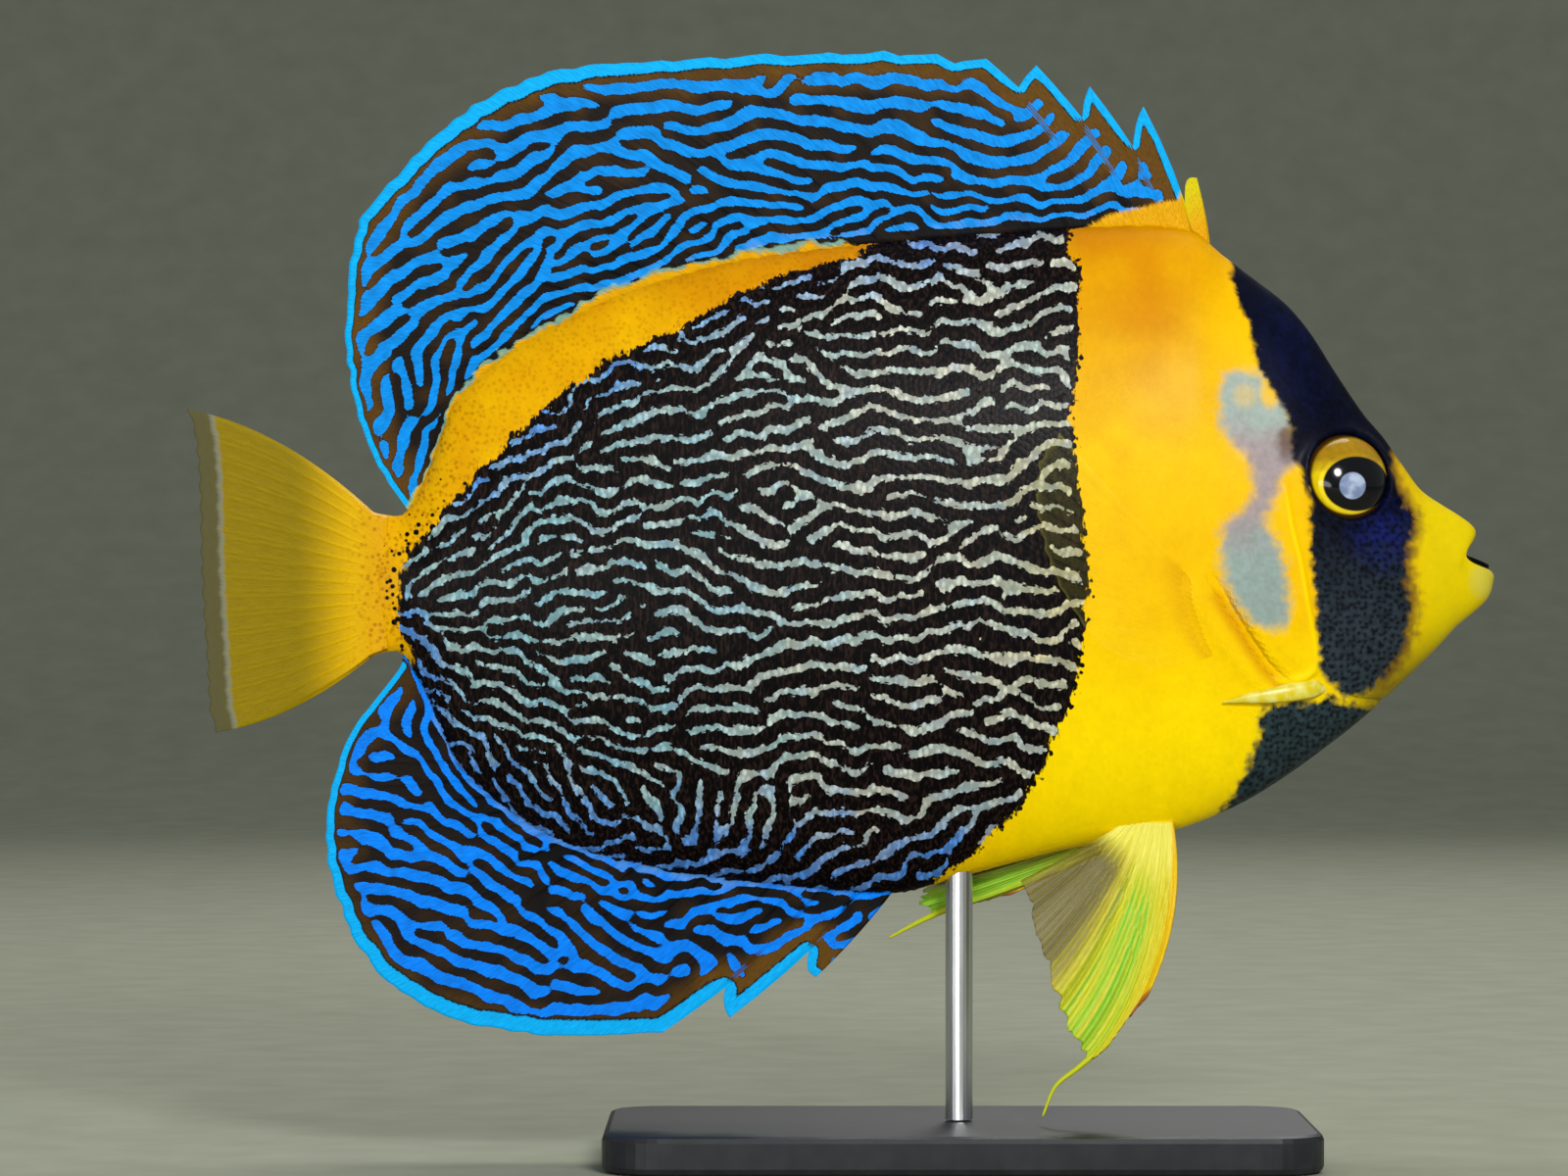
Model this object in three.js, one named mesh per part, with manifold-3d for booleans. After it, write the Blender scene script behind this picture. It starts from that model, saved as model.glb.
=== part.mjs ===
import * as THREE from 'three';
import { LoftGeometry } from 'three/addons/geometries/LoftGeometry.js';
import { mergeVertices } from 'three/addons/utils/BufferGeometryUtils.js';
import Module from 'manifold-3d';

// A scribbled angelfish, swimming level with its fins spread, on a one-rod display stand.
// Millimetres. In the fish's own frame +X is forward, +Y is its left flank and +Z is up,
// and the origin is on the midline near the middle of the body.

// Driving sizes of the body
const tailEnd = -101.5;
const snoutEnd = 104.1;
const sectionCount = 48;
const sectionSides = 28;
const endSpacing = 0.4;

const backLine = [
  [-101.5, 10.2], [-97, 9.6], [-93, 15], [-86.3, 31.3], [-68.6, 45], [-51.4, 52.7], [-28.7, 58.1],
  [8.8, 61.6], [40.2, 63.3], [48.4, 62.3], [54.2, 57.8], [60.2, 53.2], [65.8, 48.8], [70, 44],
  [75.2, 35.9], [80.5, 28.1], [84, 24], [87.5, 18.9], [91, 14.3], [94.9, 11.6], [98.4, 9.4],
  [101.1, 7], [103.4, 1], [104.1, -0.9],
];
const bellyLine = [
  [-101.5, -15.9], [-97.5, -15.2], [-92.8, -21.9], [-85, -38], [-62.5, -52.3], [-33.2, -57.9],
  [-7.9, -59.8], [8.8, -56], [26.2, -51.6], [43.8, -48.6], [56, -44.1], [75.2, -31.5],
  [92.8, -15.7], [98, -10.1], [101.1, -7.3], [103.4, -4.2], [104.1, -2.5],
];
const halfWidth = [
  [-101.5, 2.5], [-92.8, 4.8], [-70, 11], [-35, 15.2], [0, 17.2], [35, 17.6], [61.2, 15.8],
  [78.8, 12.6], [91, 8.4], [98, 5.7], [101.5, 4.4], [103.4, 2.7], [104.1, 0.9],
];
// 1 makes a section an ellipse, more pinches it towards the back and belly, less fills it out
const pinch = [[-101.5, 1], [-60, 1.25], [40, 1.2], [70, 0.9], [90, 0.85], [104.1, 0.9]];

// Clearances between neighbouring pieces, and how far from the midplane a cutting plate reaches
const partingGap = 0.3;
const fleshGap = 0.35;
const pastFlank = 40;

// Parting lines of the body, seen from the side
const headParting = [[49.9, 72], [50.4, 36.8], [50.8, 8.8], [52.8, -5.2], [61.2, -16.6], [69.1, -25.4],
  [76.1, -40]];
const tailParting = [[-94, 30], [-94, -32]];
const jawParting = [[99.4, 2.5], [96.4, -2.6], [94.5, -8.8], [93.1, -24]];

// Head
const eyeCentre = [76.9, 16.8];
const eyeRadius = 8;
const eyeDepth = 5;
const eyeSunk = 2;
const mouthNotch = [[98.9, 2.6], [99.5, 4.2], [100.6, 6.4], [101.4, 9], [107, 9], [107, 0.4], [103.2, 0.7],
  [101, 1], [99.5, 1.7]];
const upperLip = { rear: [98.7, 3.9], front: [99.9, 6], radius: 1.15 };
const lowerLip = { rear: [98.9, 0.6], front: [102.8, -0.6], radius: 1.2 };
const lipTaper = 0.5;
const nostrils = [{ at: [86.9, 11.3], radius: 0.65 }, { at: [88.8, 9.9], radius: 0.5 }];
const nostrilDepth = 1.2;
const gillCoverEdge = [
  [64, 18.9], [67, 5.1], [69.1, -7], [70.9, -17.6], [68.8, -20.8], [66.2, -21.1], [63.3, -19],
  [54.1, -5.2], [50.3, 6.9], [51.1, 15.5], [53.6, 22.5], [58.4, 25], [61.9, 23.3],
];
const gillCoverProud = 1.35;
// the cheek spine is laid along the flank, and its radii go by the share of its length
const cheekSpine = [[74.1, -20.6], [69.2, -22], [62.6, -23.1], [57, -23.8], [53.6, -24.4]];
const cheekSpineRadii = [[0, 1.3], [0.3, 1.75], [0.6, 1.45], [0.85, 0.8], [1, 0.35]];
const cheekSpineLift = 0.75;

// Unpaired fins: where each numbered ray is rooted along X, and where its tip is in [ray, x, z].
// The root of a ray is sunk this far into the body.
const rootSink = 3.2;
const dorsalFin = {
  spines: 11,
  rays: 33,
  roots: [[1, 51.8], [2, 49], [4, 40.5], [8, 15], [11, -5.5], [33, -92.5]],
  tips: [
    [1, 49.7, 71.8], [2, 39.9, 84.9], [3, 30, 88.6], [4, 20.1, 92.6], [7, -7.9, 95.3],
    [11, -49, 93.6], [14, -67.5, 92], [17, -83.5, 85.2], [20, -96.3, 74], [23, -105.8, 60.2],
    [26, -107, 43], [29, -104.8, 28.5], [31, -101, 19], [33, -95.5, 10.8],
  ],
  notches: [[1.8, 0.66], [2.8, 0.38], [3.8, 0.3], [4.8, 0.16], [5.8, 0.05], [7.8, 0.02], [11, 0.012]],
  bow: 0.05,
};
const analFin = {
  spines: 3,
  rays: 24,
  roots: [[1, -4.5], [2, -11], [3, -17.5], [24, -95.5]],
  tips: [
    [1, -20.3, -75.1], [2, -36.2, -82.6], [3, -48.5, -85.3], [6, -66, -86.2], [9, -83, -84.1],
    [12, -97.2, -77.8], [15, -107.2, -64.8], [18, -110.7, -48.5], [21, -107.5, -33.5], [24, -96.6, -18],
  ],
  notches: [[1.8, 0.47], [2.8, 0.3], [3.8, 0.04], [5, 0.012]],
  bow: 0.05,
};
const spineNotchPlace = 0.8;
const softNotch = 0.012;
const unpairedRoot = { ray: 1.9, web: 1.35 };
const unpairedEdge = { ray: 0.42, web: 0.27 };
const unpairedRows = [0, 0.14, 0.4, 0.72, 1];
const pastFins = 99;

// Tail fin: rays are numbered from the top, and tips are [ray, x, z]
const tailFin = {
  rays: 17,
  root: { x: tailEnd - partingGap, top: 10.4, bottom: -16.1, half: 2.2 },
  tips: [
    [1, -136.1, 29.3], [2, -134.7, 25], [5, -133.8, 15], [9, -133.4, -0.7], [13, -132.5, -16],
    [16, -131.9, -26], [17, -130.7, -30.2],
  ],
  bow: 0.34,
};
const tailRows = [0, 0.14, 0.4, 0.7, 1];

// Paired fins
const pectoral = {
  rays: 15,
  root: [[49.2, -4], [52.4, -15.7]],
  tips: [
    [1, 23.6, 24.5], [3, 19.8, 19], [5, 19.3, 13], [8, 20.9, 3.5], [11, 25.4, -6.6],
    [13, 31.5, -14], [15, 40.2, -18.4],
  ],
  lift: [[0, -2.2], [0.12, 0.6], [0.35, 1.5], [1, 3.6]],
  half: [[0, 0.9], [0.3, 0.55], [1, 0.3]],
};
const pectoralRows = [0, 0.12, 0.3, 0.6, 1];
const pelvicRight = {
  side: -1,
  root: [[45.2, -46.6], [36, -46.8]],
  tips: [[40, -78.3], [29.6, -89.6], [25.8, -84.5], [22.6, -76], [19.8, -66.8], [17, -57]],
  bows: [[47.8, -62.8], [42, -76], [37, -70], [33, -64], [29, -58], [25.5, -53]],
  filament: [[33, -86.6], [27.4, -91.2], [23.2, -94.6], [20.9, -99.9]],
  splay: [3.4, 9.5],
};
const pelvicLeft = {
  side: 1,
  root: [[44, -46.8], [37.5, -46.4]],
  tips: [[15.6, -60.4], [1.6, -63.6], [-1.2, -62], [-0.4, -59.6], [4, -57.2], [12.2, -53.6]],
  bows: [[30, -53.5], [22, -57.2], [20, -55.6], [20, -54.2], [21, -52.8], [25, -50.8]],
  filament: [[4.6, -62.6], [-1.2, -65.4], [-6.8, -68.4]],
  splay: [3.9, 7.4],
};
const pelvicRows = [0, 0.15, 0.35, 0.55, 0.78, 1];
const pelvicHalf = { root: 1.1, edge: 0.3, ray: 0.28 };
const filamentRadii = [0.7, 0.3];

// Stand
const base = { x: 6, length: 130, width: 72, corner: 9, thick: 7, edge: 1.2, top: -101.6 };
// the rod is made a little too long, and the belly cuts it to its length
const rod = { x: 6, radius: 2.5, sides: 24, overlap: 6 };

// Materials
const finish = (color, roughness, metalness = 0) =>
  new THREE.MeshStandardMaterial({ color, roughness, metalness });
const yellowSkin = finish(0xf2b705, 0.45);
const scribbledSkin = finish(0x2a2226, 0.45);
const blueFin = finish(0x0f6fd6, 0.4);
const clearFin = finish(0xe6cf45, 0.35);
const eyeFinish = finish(0x15120c, 0.08);
const baseFinish = finish(0x1b1c1e, 0.4);
const rodFinish = finish(0xb9bcc0, 0.3, 1);

const wasm = await Module();
wasm.setup();

function toSolid(geometry) {
  const bare = new THREE.BufferGeometry();
  bare.setAttribute('position', geometry.getAttribute('position'));
  bare.setIndex(geometry.getIndex());
  const merged = mergeVertices(bare, 1e-5);
  const triVerts = new Uint32Array(merged.index.array);
  const vertProperties = new Float32Array(merged.attributes.position.array);
  const solid = new wasm.Manifold(new wasm.Mesh({ numProp: 3, vertProperties, triVerts }));
  if (solid.volume() > 0) return solid;
  // a sheet made on the other flank is inside out, so its triangles are turned round
  triVerts.reverse();
  return new wasm.Manifold(new wasm.Mesh({ numProp: 3, vertProperties, triVerts }));
}

function toGeometry(solid) {
  const mesh = solid.getMesh();
  const geometry = new THREE.BufferGeometry();
  geometry.setAttribute('position', new THREE.BufferAttribute(new Float32Array(mesh.vertProperties), 3));
  geometry.setIndex(new THREE.BufferAttribute(new Uint32Array(mesh.triVerts), 1));
  geometry.computeVertexNormals();
  return geometry;
}

function largest(solid) {
  return solid.decompose().reduce((best, piece) => (piece.volume() > best.volume() ? piece : best));
}

// A smooth curve through [x, y] keys that never overshoots them
function through(keys) {
  const rising = [...keys].sort((a, b) => a[0] - b[0]);
  const slopes = rising.slice(1).map((key, i) => (key[1] - rising[i][1]) / (key[0] - rising[i][0]));
  const tangents = rising.map((key, i) => {
    const before = slopes[Math.max(i - 1, 0)];
    const after = slopes[Math.min(i, slopes.length - 1)];
    return before * after <= 0 ? 0 : (2 * before * after) / (before + after);
  });
  return (x) => {
    const last = rising.length - 1;
    if (x <= rising[0][0]) return rising[0][1] + tangents[0] * (x - rising[0][0]);
    if (x >= rising[last][0]) return rising[last][1] + tangents[last] * (x - rising[last][0]);
    const i = rising.findIndex((key) => x <= key[0]) - 1;
    const span = rising[i + 1][0] - rising[i][0];
    const t = (x - rising[i][0]) / span;
    const start = (1 + 2 * t) * (1 - t) ** 2 * rising[i][1] + t * (1 - t) ** 2 * span * tangents[i];
    const end = t * t * (3 - 2 * t) * rising[i + 1][1] + t * t * (t - 1) * span * tangents[i + 1];
    return start + end;
  };
}

const backAt = through(backLine);
const bellyAt = through(bellyLine);
const widthAt = through(halfWidth);
const pinchAt = through(pinch);

// The half width of the body at a point seen from the side
function flank(x, z) {
  const inside = THREE.MathUtils.clamp(x, tailEnd, snoutEnd);
  const middle = (backAt(inside) + bellyAt(inside)) / 2;
  const half = (backAt(inside) - bellyAt(inside)) / 2;
  const level = THREE.MathUtils.clamp((z - middle) / half, -1, 1);
  return widthAt(inside) * (1 - level * level) ** (pinchAt(inside) / 2);
}

// The way the flank faces at a point of one side
function flankNormal(x, z, side) {
  const step = 0.5;
  const alongX = (flank(x + step, z) - flank(x - step, z)) / (2 * step);
  const alongZ = (flank(x, z + step) - flank(x, z - step)) / (2 * step);
  return new THREE.Vector3(-alongX, side, -alongZ).normalize();
}

// The whole body, lofted through its sections, and grown evenly when a clearance is needed
function bodySolid(grow = 0) {
  const sections = [];
  for (let i = 0; i <= sectionCount; i += 1) {
    const t = i / sectionCount;
    const even = endSpacing * t + (1 - endSpacing) * (1 - Math.cos(Math.PI * t)) / 2;
    const x = THREE.MathUtils.lerp(tailEnd, snoutEnd, even);
    const top = backAt(x) + grow;
    const bottom = bellyAt(x) - grow;
    const ring = [];
    for (let j = 0; j < sectionSides; j += 1) {
      const turn = (j / sectionSides) * Math.PI * 2;
      const reach = (widthAt(x) + grow) * Math.abs(Math.sin(turn)) ** pinchAt(x);
      const z = (top + bottom) / 2 + ((top - bottom) / 2) * Math.cos(turn);
      const place = THREE.MathUtils.lerp(tailEnd - grow, snoutEnd + grow, even);
      ring.push(new THREE.Vector3(place, -Math.sign(Math.sin(turn)) * reach, z));
    }
    sections.push(ring);
  }
  return toSolid(new LoftGeometry(sections, { capStart: true, capEnd: true }));
}

// A plate seen from the side: an outline in X and Z, carried from one Y to another
function sidePlate(outline, fromY, toY) {
  const shape = new THREE.Shape(outline.map(([x, z]) => new THREE.Vector2(x, z)));
  const geometry = new THREE.ExtrudeGeometry(shape, { depth: toY - fromY, bevelEnabled: false });
  geometry.rotateX(Math.PI / 2);
  geometry.translate(0, toY, 0);
  return toSolid(geometry);
}

// A thin band along a parting line, wide enough to leave the gap between two pieces
function knife(line) {
  const curve = new THREE.SplineCurve(line.map(([x, z]) => new THREE.Vector2(x, z)));
  const steps = line.length > 2 ? line.length * 3 : 1;
  const near = [];
  const far = [];
  for (let i = 0; i <= steps; i += 1) {
    const point = curve.getPoint(i / steps);
    const tangent = curve.getTangent(i / steps);
    near.push([point.x - tangent.y * partingGap / 2, point.y + tangent.x * partingGap / 2]);
    far.unshift([point.x + tangent.y * partingGap / 2, point.y - tangent.x * partingGap / 2]);
  }
  return sidePlate([...near, ...far], -pastFlank, pastFlank);
}

// A round bar along a curve, as thick as radiusAt says from 0 at its start to 1 at its end
function taperedBar(points, radiusAt, sides, steps) {
  const curve = new THREE.CatmullRomCurve3(points);
  const frames = curve.computeFrenetFrames(steps);
  const rings = [];
  for (let i = 0; i <= steps; i += 1) {
    const centre = curve.getPointAt(i / steps);
    const radius = radiusAt(i / steps);
    const ring = [];
    for (let j = 0; j < sides; j += 1) {
      const turn = (j / sides) * Math.PI * 2;
      const arm = frames.normals[i].clone().multiplyScalar(radius * Math.cos(turn));
      arm.addScaledVector(frames.binormals[i], radius * Math.sin(turn));
      ring.push(centre.clone().add(arm));
    }
    rings.push(ring);
  }
  return toSolid(new LoftGeometry(rings, { capStart: true, capEnd: true }));
}

// A fin: lines of points run from its root to its edge, every second one along a ray.
// Both faces are split into triangles alike, so the thin sheet never crosses itself.
function ribbedSheet(lines, rows, middle, half) {
  const positions = [];
  const step = 0.02;
  for (const face of [1, -1]) {
    for (const line of lines) {
      for (const row of rows) {
        const across = middle(line + step, row).sub(middle(line - step, row));
        const along = middle(line, row + step).sub(middle(line, row - step));
        const normal = across.cross(along).normalize();
        positions.push(...middle(line, row).addScaledVector(normal, face * half(line, row)).toArray());
      }
    }
  }
  const height = rows.length;
  const back = lines.length * height;
  const index = [];
  for (let i = 0; i < lines.length - 1; i += 1) {
    for (let j = 0; j < height - 1; j += 1) {
      const corner = i * height + j;
      const [a, b, c, d] = [corner, corner + height, corner + height + 1, corner + 1];
      index.push(a, b, d, b, c, d);
      index.push(back + a, back + d, back + b, back + b, back + d, back + c);
    }
  }
  const border = [];
  for (let i = 0; i < lines.length - 1; i += 1) border.push(i * height);
  for (let j = 0; j < height - 1; j += 1) border.push((lines.length - 1) * height + j);
  for (let i = lines.length - 1; i > 0; i -= 1) border.push(i * height + height - 1);
  for (let j = height - 1; j > 0; j -= 1) border.push(j);
  border.forEach((from, k) => {
    const to = border[(k + 1) % border.length];
    index.push(from, back + from, to, to, back + from, back + to);
  });
  const geometry = new THREE.BufferGeometry();
  geometry.setAttribute('position', new THREE.BufferAttribute(new Float32Array(positions), 3));
  geometry.setIndex(index);
  return toSolid(geometry);
}

function bend(from, by, to, t) {
  return new THREE.QuadraticBezierCurve3(from, by, to).getPoint(t);
}

const isRay = (line) => Math.abs(line - Math.round(line)) < 0.01;

// The dorsal or anal fin, which stands on the back or belly line
function unpairedFin(fin, rootLine, sink) {
  const rootAt = through(fin.roots);
  const tipX = through(fin.tips.map(([ray, x]) => [ray, x]));
  const tipZ = through(fin.tips.map(([ray, , z]) => [ray, z]));
  const notchAt = through(fin.notches);
  const lines = [];
  for (let ray = 1; ray <= fin.rays; ray += 1) {
    lines.push(ray);
    if (ray < fin.rays) lines.push(ray + (ray < fin.spines ? spineNotchPlace : 0.5));
  }
  const reach = (line) => {
    if (isRay(line)) return 1;
    return line < fin.spines ? 1 - Math.max(notchAt(line), softNotch) : 1 - softNotch;
  };
  const middle = (line, row) => {
    const x = rootAt(line);
    const root = new THREE.Vector3(x, 0, rootLine(x) + sink);
    const tip = new THREE.Vector3(tipX(line), 0, tipZ(line));
    const along = tip.clone().sub(root);
    const by = root.clone().addScaledVector(along, 0.5);
    by.add(new THREE.Vector3(along.z, 0, -along.x).multiplyScalar(fin.bow * Math.sign(-sink)));
    return bend(root, by, tip, row * reach(line));
  };
  const half = (line, row) => {
    const kind = isRay(line) ? 'ray' : 'web';
    return THREE.MathUtils.lerp(unpairedRoot[kind], unpairedEdge[kind], Math.sqrt(row));
  };
  return ribbedSheet(lines, unpairedRows, middle, half);
}

function tailFinSolid() {
  const { rays, root, tips, bow } = tailFin;
  const tipX = through(tips.map(([ray, x]) => [ray, x]));
  const tipZ = through(tips.map(([ray, , z]) => [ray, z]));
  const lines = [];
  for (let line = 1; line <= rays; line += 0.5) lines.push(line);
  const middle = (line, row) => {
    const share = (line - 1) / (rays - 1);
    const from = new THREE.Vector3(root.x, 0, THREE.MathUtils.lerp(root.top, root.bottom, share));
    const tip = new THREE.Vector3(tipX(line), 0, tipZ(line));
    const by = from.clone().lerp(tip, 0.5);
    by.z += bow * (tip.z - from.z) * (1 - 2 * share) * Math.sign(tip.z - from.z);
    return bend(from, by, tip, row * (isRay(line) ? 1 : 1 - softNotch));
  };
  const half = (line, row) => {
    const edge = isRay(line) ? unpairedEdge.ray : unpairedEdge.web;
    const near = isRay(line) ? root.half : root.half * 0.8;
    return THREE.MathUtils.lerp(near, edge, Math.sqrt(row));
  };
  return ribbedSheet(lines, tailRows, middle, half);
}

// A pectoral fin lies back along the flank and lifts off it towards its edge
function pectoralSolid(side) {
  const { rays, root, tips } = pectoral;
  const tipX = through(tips.map(([ray, x]) => [ray, x]));
  const tipZ = through(tips.map(([ray, , z]) => [ray, z]));
  const liftAt = through(pectoral.lift);
  const halfAt = through(pectoral.half);
  const lines = [];
  for (let line = 1; line <= rays; line += 0.5) lines.push(line);
  const middle = (line, row) => {
    const share = (line - 1) / (rays - 1);
    const x = THREE.MathUtils.lerp(THREE.MathUtils.lerp(root[0][0], root[1][0], share), tipX(line), row);
    const z = THREE.MathUtils.lerp(THREE.MathUtils.lerp(root[0][1], root[1][1], share), tipZ(line), row);
    return new THREE.Vector3(x, side * (flank(x, z) + liftAt(row)), z);
  };
  const half = (line, row) => halfAt(row) + (isRay(line) ? 0.22 : 0);
  return ribbedSheet(lines, pectoralRows, middle, half);
}

// A pelvic fin: one spine, five soft rays, and the long thread of the first soft ray
function pelvicSolid(fin) {
  const last = fin.tips.length - 1;
  const keyed = (points, k) => through(points.map((point, i) => [i, point[k]]));
  const [tipX, tipZ] = [keyed(fin.tips, 0), keyed(fin.tips, 1)];
  const [byX, byZ] = [keyed(fin.bows, 0), keyed(fin.bows, 1)];
  const yAt = (row) => fin.side * THREE.MathUtils.lerp(fin.splay[0], fin.splay[1], row);
  const lines = [];
  for (let line = 0; line <= last; line += 0.5) lines.push(line);
  const middle = (line, row) => {
    const share = line / last;
    const x = THREE.MathUtils.lerp(fin.root[0][0], fin.root[1][0], share);
    const z = THREE.MathUtils.lerp(fin.root[0][1], fin.root[1][1], share);
    const from = new THREE.Vector3(x, 0, z);
    const by = new THREE.Vector3(byX(line), 0, byZ(line));
    const tip = new THREE.Vector3(tipX(line), 0, tipZ(line));
    return bend(from, by, tip, row).setY(yAt(row));
  };
  const half = (line, row) => {
    const web = THREE.MathUtils.lerp(pelvicHalf.root, pelvicHalf.edge, Math.sqrt(row));
    return web + (isRay(line) ? pelvicHalf.ray : 0);
  };
  const thread = fin.filament.map(([x, z], i) => new THREE.Vector3(x, yAt(0.85 + 0.15 * i), z));
  const sheet = ribbedSheet(lines, pelvicRows, middle, half);
  return sheet.add(taperedBar(thread, (t) => THREE.MathUtils.lerp(...filamentRadii, t), 6, 6));
}

function eyeSolid(side, grow = 0) {
  const [x, z] = eyeCentre;
  const normal = flankNormal(x, z, side);
  const centre = new THREE.Vector3(x, side * flank(x, z), z).addScaledVector(normal, -eyeSunk);
  const ball = new THREE.SphereGeometry(1, 20, 12);
  ball.scale(eyeRadius + grow, eyeDepth + grow, eyeRadius + grow);
  ball.applyQuaternion(new THREE.Quaternion().setFromUnitVectors(new THREE.Vector3(0, 1, 0), normal));
  ball.translate(centre.x, centre.y, centre.z);
  return toSolid(ball);
}

// A lip runs from one corner of the mouth round the front to the other
function lipSolid(lip) {
  const [rearX, rearZ] = lip.rear;
  const [frontX, frontZ] = lip.front;
  const points = [-1, -0.72, 0, 0.72, 1].map((share) => {
    const forward = Math.sqrt(1 - share * share);
    const x = THREE.MathUtils.lerp(rearX, frontX, forward);
    const z = THREE.MathUtils.lerp(rearZ, frontZ, forward);
    return new THREE.Vector3(x, share * (flank(rearX, rearZ) - lip.radius * lipTaper), z);
  });
  const radiusAt = (t) => lip.radius * (lipTaper + (1 - lipTaper) * Math.sqrt(Math.sin(Math.PI * t)));
  return taperedBar(points, radiusAt, 8, 14);
}

function nostrilPit({ at, radius }, side) {
  const [x, z] = at;
  const pit = new THREE.SphereGeometry(1, 8, 6);
  pit.scale(radius, nostrilDepth, radius);
  pit.translate(x, side * flank(x, z), z);
  return toSolid(pit);
}

function cheekSpineSolid(side, extra = 0) {
  const points = cheekSpine.map(([x, z]) => new THREE.Vector3(x, side * (flank(x, z) + cheekSpineLift), z));
  const radiusAt = through(cheekSpineRadii);
  return taperedBar(points, (t) => radiusAt(t) + extra, 8, 10);
}

function gillCoverSolid(side) {
  const curve = new THREE.SplineCurve([...gillCoverEdge, gillCoverEdge[0]]
    .map(([x, z]) => new THREE.Vector2(x, z)));
  const outline = curve.getPoints(30).slice(0, -1).map((point) => [point.x, point.y]);
  const plate = side > 0 ? sidePlate(outline, 0, pastFlank) : sidePlate(outline, -pastFlank, 0);
  const shell = bodySolid(gillCoverProud).subtract(grownBody);
  return largest(plate.intersect(shell).subtract(cheekSpineSolid(side, partingGap)));
}

const grownBody = bodySolid(fleshGap);
const sides = [['right', -1], ['left', 1]];

// The body is lofted whole, opened for the eyes, mouth and nostrils, then parted
let flesh = bodySolid();
for (const [, side] of sides) {
  flesh = flesh.subtract(eyeSolid(side, partingGap));
  for (const nostril of nostrils) flesh = flesh.subtract(nostrilPit(nostril, side));
}
flesh = flesh.subtract(sidePlate(mouthNotch, -pastFlank, pastFlank));
for (const line of [headParting, tailParting, jawParting]) flesh = flesh.subtract(knife(line));
const pieces = flesh.decompose().sort((a, b) => b.volume() - a.volume()).slice(0, 4);
const middleX = (piece) => (piece.boundingBox().min[0] + piece.boundingBox().max[0]) / 2;
const [tailStalk, trunk, head, lowerJaw] = pieces.sort((a, b) => middleX(a) - middleX(b));

const fish = new THREE.Group();

function place(name, solid, material) {
  const mesh = new THREE.Mesh(toGeometry(solid), material);
  mesh.name = name;
  fish.add(mesh);
}

place('head', largest(head.add(lipSolid(upperLip))), yellowSkin);
place('lower_jaw', largest(lowerJaw.add(lipSolid(lowerLip))), yellowSkin);
place('trunk', trunk, scribbledSkin);
place('tail_stalk', tailStalk, yellowSkin);

// The dorsal fin is parted just behind its last spine
const dorsal = unpairedFin(dorsalFin, backAt, -rootSink).subtract(grownBody);
const partedRay = dorsalFin.spines + 0.35;
const dorsalRoot = through(dorsalFin.roots)(partedRay);
const dorsalTip = through(dorsalFin.tips.map(([ray, x]) => [ray, x]))(partedRay);
const dorsalParting = knife([[dorsalRoot, backAt(dorsalRoot) - 2 * rootSink], [dorsalTip, pastFins]]);
const dorsalPieces = dorsal.subtract(dorsalParting).decompose()
  .sort((a, b) => b.volume() - a.volume()).slice(0, 2).sort((a, b) => middleX(b) - middleX(a));
place('dorsal_fin_front', dorsalPieces[0], blueFin);
place('dorsal_fin_rear', dorsalPieces[1], blueFin);
place('anal_fin', largest(unpairedFin(analFin, bellyAt, rootSink).subtract(grownBody)), blueFin);
place('caudal_fin', tailFinSolid(), yellowSkin);

for (const [name, side] of sides) {
  place(`gill_cover_${name}`, gillCoverSolid(side), yellowSkin);
  place(`cheek_spine_${name}`, largest(cheekSpineSolid(side).subtract(grownBody)), yellowSkin);
  place(`eye_${name}`, eyeSolid(side), eyeFinish);
  place(`pectoral_fin_${name}`, largest(pectoralSolid(side).subtract(grownBody)), clearFin);
}
place('pelvic_fin_right', largest(pelvicSolid(pelvicRight).subtract(grownBody)), clearFin);
place('pelvic_fin_left', largest(pelvicSolid(pelvicLeft).subtract(grownBody)), clearFin);

// Stand: a flat base with rounded corners, and a rod up to the belly
function baseSolid() {
  const { length, width, corner, edge, thick } = base;
  const [x, y] = [length / 2 - edge, width / 2 - edge];
  const shape = new THREE.Shape();
  shape.moveTo(-x + corner, -y);
  shape.lineTo(x - corner, -y);
  shape.absarc(x - corner, -y + corner, corner, -Math.PI / 2, 0);
  shape.absarc(x - corner, y - corner, corner, 0, Math.PI / 2);
  shape.absarc(-x + corner, y - corner, corner, Math.PI / 2, Math.PI);
  shape.absarc(-x + corner, -y + corner, corner, Math.PI, Math.PI * 1.5);
  const geometry = new THREE.ExtrudeGeometry(shape, {
    depth: thick - 2 * edge, bevelThickness: edge, bevelSize: edge, bevelSegments: 2, curveSegments: 4,
  });
  geometry.translate(base.x, 0, base.top - thick + edge);
  return toSolid(geometry);
}

function rodSolid() {
  const foot = base.top + partingGap;
  const height = bellyAt(rod.x) + rod.overlap - foot;
  const geometry = new THREE.CylinderGeometry(rod.radius, rod.radius, height, rod.sides);
  geometry.rotateX(Math.PI / 2);
  geometry.translate(rod.x, 0, foot + height / 2);
  return largest(toSolid(geometry).subtract(grownBody));
}

place('stand_base', baseSolid(), baseFinish);
place('stand_rod', rodSolid(), rodFinish);

// The part's origin is under the middle of its box, at the foot of the stand
const box = new THREE.Box3().setFromObject(fish);
const centre = box.getCenter(new THREE.Vector3());
fish.position.set(-centre.x, -centre.y, -box.min.z);
const model = new THREE.Group();
model.add(fish);

export default model;
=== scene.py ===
import math

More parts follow.
